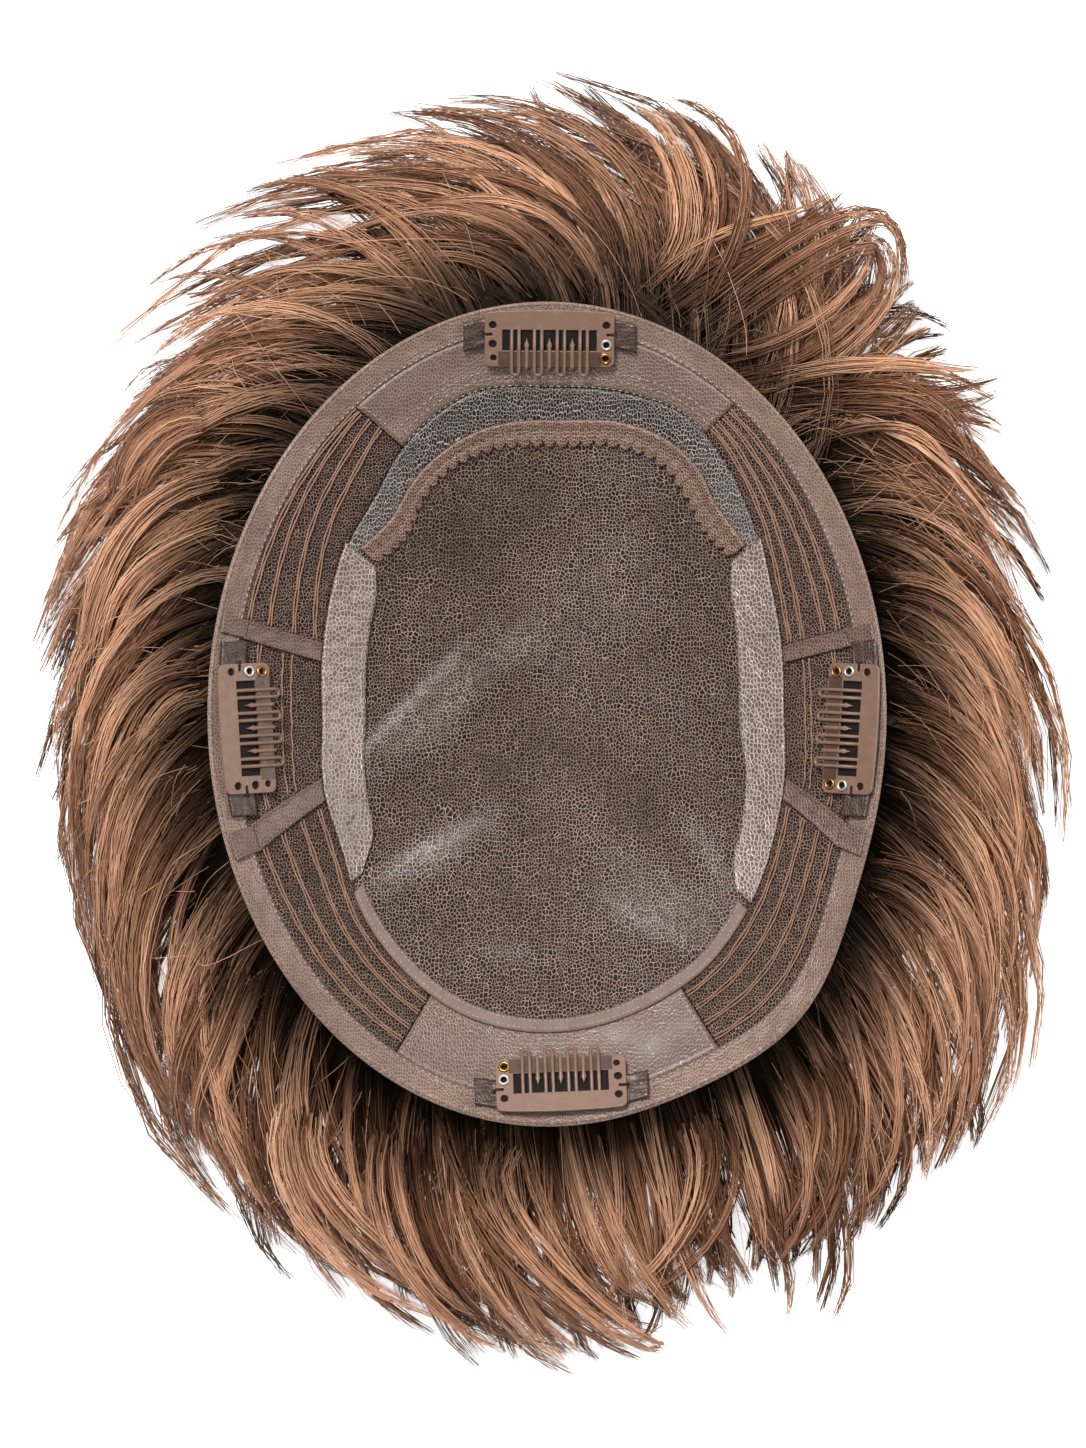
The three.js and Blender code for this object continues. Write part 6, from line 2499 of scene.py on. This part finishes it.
    def _flyaways(self) -> Strands:
        """Grows fine loose strands that cross the locks."""
        form = self.shop.form
        rng = self.rng
        count = self.flyaways
        tip = rng.uniform(0, TURN, count)
        sweep = self.sweep_at(tip) * rng.uniform(-0.2, 1.5, count) + rng.normal(0, 9, count)
        reach = self.reach_at(tip) * self.reach * rng.uniform(0.7, 1.15, count)
        first = rng.uniform(0.06, 0.6, count)
        steps = np.linspace(0, 1, self.flyaway_stations)[None, :]
        s = first[:, None] + (rng.uniform(0.8, 1.0, count) - first)[:, None] * steps
        angle = (tip - sweep)[:, None] + sweep[:, None] * s ** rng.uniform(1.0, 1.9, count)[:, None]
        out = 1 - (1 - s) ** 1.35
        radius = form.rim_radius(angle) * 0.95 + (reach * 1.04)[:, None] * out
        height = (0.86 - 0.5 * out + 0.1 * rng.normal(0, 1, count)[:, None]) * form.rim_height(angle)
        phase = rng.uniform(0, 2 * math.pi, count)[:, None]
        turns = rng.uniform(1.2, 3.0, count)[:, None]
        wave = rng.uniform(0.6, 2.6, count)[:, None] * np.sin(2 * math.pi * turns * s + phase)
        path = np.stack([*polar(angle, radius + wave), height + wave], axis=-1)
        tone = rng.normal(0.84, 0.14, count)
        return Strands(self._kept_clear(path), tone, rng.uniform(0.5, 0.78, count), np.full(count, 0.3))

    def _kept_clear(self, path: np.ndarray) -> np.ndarray:
        """Keeps strands over the floor and under the base, and returns them."""
        form = self.shop.form
        x, y = path[..., 0], path[..., 1]
        angle = np.degrees(np.arctan2(y, x))
        past = np.hypot(x, y) - form.rim_radius(angle)
        under = form.height(x, y, False) - self.top_gap - 0.9
        beside = form.rim_height(angle) * 0.9
        ceiling = np.where(past < 1.5, np.minimum(under, beside), beside + 2.0)
        path[..., 2] = np.clip(path[..., 2], self.floor_gap, ceiling)
        return path

    def _piece(self, name: str, strands: Strands) -> None:
        """Writes some strands as one piece.

        Args:
            name: the object's name.
            strands: what it holds.
        """
        form = self.shop.form
        path = strands.path
        count, stations = path.shape[:2]
        t = np.linspace(0, 1, stations)
        first = (np.arange(count)[:, None] * stations + np.arange(stations - 1)[None, :]).ravel()
        made = write_mesh(name, path.reshape(-1, 3), [], form)
        mesh = made.data
        mesh.edges.add(len(first))
        mesh.edges.foreach_set("vertices", np.stack([first, first + 1], axis=1).astype(np.int32).ravel())
        # Painted shadow: the depth value darkens strands near the rim and low down, scaled by each strand's shade.
        plan = np.hypot(path[..., 0], path[..., 1])
        past = plan - form.rim_radius(np.degrees(np.arctan2(path[..., 1], path[..., 0])))
        low = 1 - np.clip(path[..., 2] / self.shade_height, 0, 1)
        near = (1 - np.clip((past - self.shade_from) / self.shade_length, 0, 1)) ** 0.75
        painted_shade = self.shade_near * near + self.shade_low * low * (1 - t[None, :])
        depth = np.clip(strands.shade[:, None] * painted_shade, 0, 1)
        # Painted highlight along the middle of each strand and lighter tips, and painted shade that darkens the
        # strands towards the front and the back.
        along = 0.2 * np.sin(math.pi * t) ** 2 + 0.16 * t**2 - 0.08
        ends = 0.12 * np.abs(path[..., 1] / plan) ** 3
        tone = np.clip(strands.tone[:, None] + along[None, :] - ends, 0, 1)
        girth = strands.girth[:, None] * (1 - 0.6 * t**4)[None, :]
        for label, values in (("tone", tone), ("depth", depth), ("girth", girth)):
            write_values(mesh, label, values)
        self.tool.run(made, self.strand_width / 2, self.shop.material(HAIR))
        self.shop.dress(made, HAIR, "hair", "hair")


# Stage


@dataclass
class Stage:
    """Floor, light and the camera at the photograph's angle."""

    form: BaseForm
    eye_height: float = 1.5
    rim_level: float = 0.05
    floor_size: float = 4.0

    def make(self) -> None:
        """Sets all of it up."""
        self._floor()
        self._lights()
        self._camera()

    def _floor(self) -> None:
        """Lays a plain pale floor."""
        bpy.ops.mesh.primitive_plane_add(size=self.floor_size, location=(0, 0, 0))
        floor = bpy.context.object
        floor.name = "floor"
        material, _, shader = new_material("pale_floor", Surface(roughness=0.8, specular=0.2))
        shader.inputs["Base Color"].default_value = (0.94, 0.94, 0.94, 1.0)
        shader.inputs["Emission Color"].default_value = (1.0, 1.0, 1.0, 1.0)
        shader.inputs["Emission Strength"].default_value = 0.7
        floor.data.materials.append(material)

    def _lights(self) -> None:
        """Hangs soft lights overhead."""
        for name, place, size, power in (
            ("key_light", (-0.45, 0.9, 1.85), 0.5, 40.0),
            ("side_light", (1.5, 0.3, 1.2), 0.7, 7.0),
            ("top_light", (-0.15, 0.1, 2.1), 0.4, 12.0),
        ):
            light = bpy.data.lights.new(name, "AREA")
            light.shape = "DISK"
            light.size = size
            light.energy = power
            lamp = bpy.data.objects.new(name, light)
            lamp.location = place
            lamp.rotation_euler = Vector(place).to_track_quat("Z", "Y").to_euler()
            bpy.context.scene.collection.objects.link(lamp)
        world = bpy.data.worlds.new("studio")
        world.use_nodes = True
        world.node_tree.nodes["Background"].inputs["Color"].default_value = (1.0, 1.0, 1.0, 1.0)
        world.node_tree.nodes["Background"].inputs["Strength"].default_value = 0.16
        bpy.context.scene.world = world
        bpy.context.scene.view_settings.view_transform = "Standard"

    def _camera(self) -> None:
        """Sets the camera straight above, framed as the photograph is."""
        data = bpy.data.cameras.new("photo_camera")
        data.sensor_fit = "HORIZONTAL"
        width = PHOTO_WIDTH * PHOTO_SCALE * MM
        data.lens = data.sensor_width * self.eye_height / width
        camera = bpy.data.objects.new("photo_camera", data)
        dx = (PHOTO_WIDTH / 2 - PHOTO_BASE_MIDDLE[0]) * PHOTO_SCALE
        dy = (PHOTO_BASE_MIDDLE[1] - PHOTO_HEIGHT / 2) * PHOTO_SCALE
        camera.location = (
            (self.form.middle[0] + dx) * MM,
            (self.form.middle[1] + dy) * MM,
            self.rim_level + self.eye_height,
        )
        bpy.context.scene.collection.objects.link(camera)
        bpy.context.scene.camera = camera


def main() -> None:
    """Builds the hairpiece and its stage."""
    logging.basicConfig(level=logging.INFO, format="%(name)s: %(message)s")
    low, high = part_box("edge_band")
    form = BaseForm((low.x / MM + BaseForm.rim_width / 2, high.y / MM - BaseForm.rim_length / 2))
    log.info("base middle at %.3f, %.3f mm", *form.middle)
    shop = Workshop(form, SharedEffects())
    HairGrower(shop).make()
    CentrePanel(shop).make()
    FieldCloth(shop).make()
    EdgeBand(shop).make()
    Overlays(shop).make()
    Sewing(shop).make()
    for place in CLIPS:
        SnapClip(shop, place).make()
    log.info("%d triangles in all", shop.triangles)
    Stage(form).make()


if __name__ == "__main__":
    main()
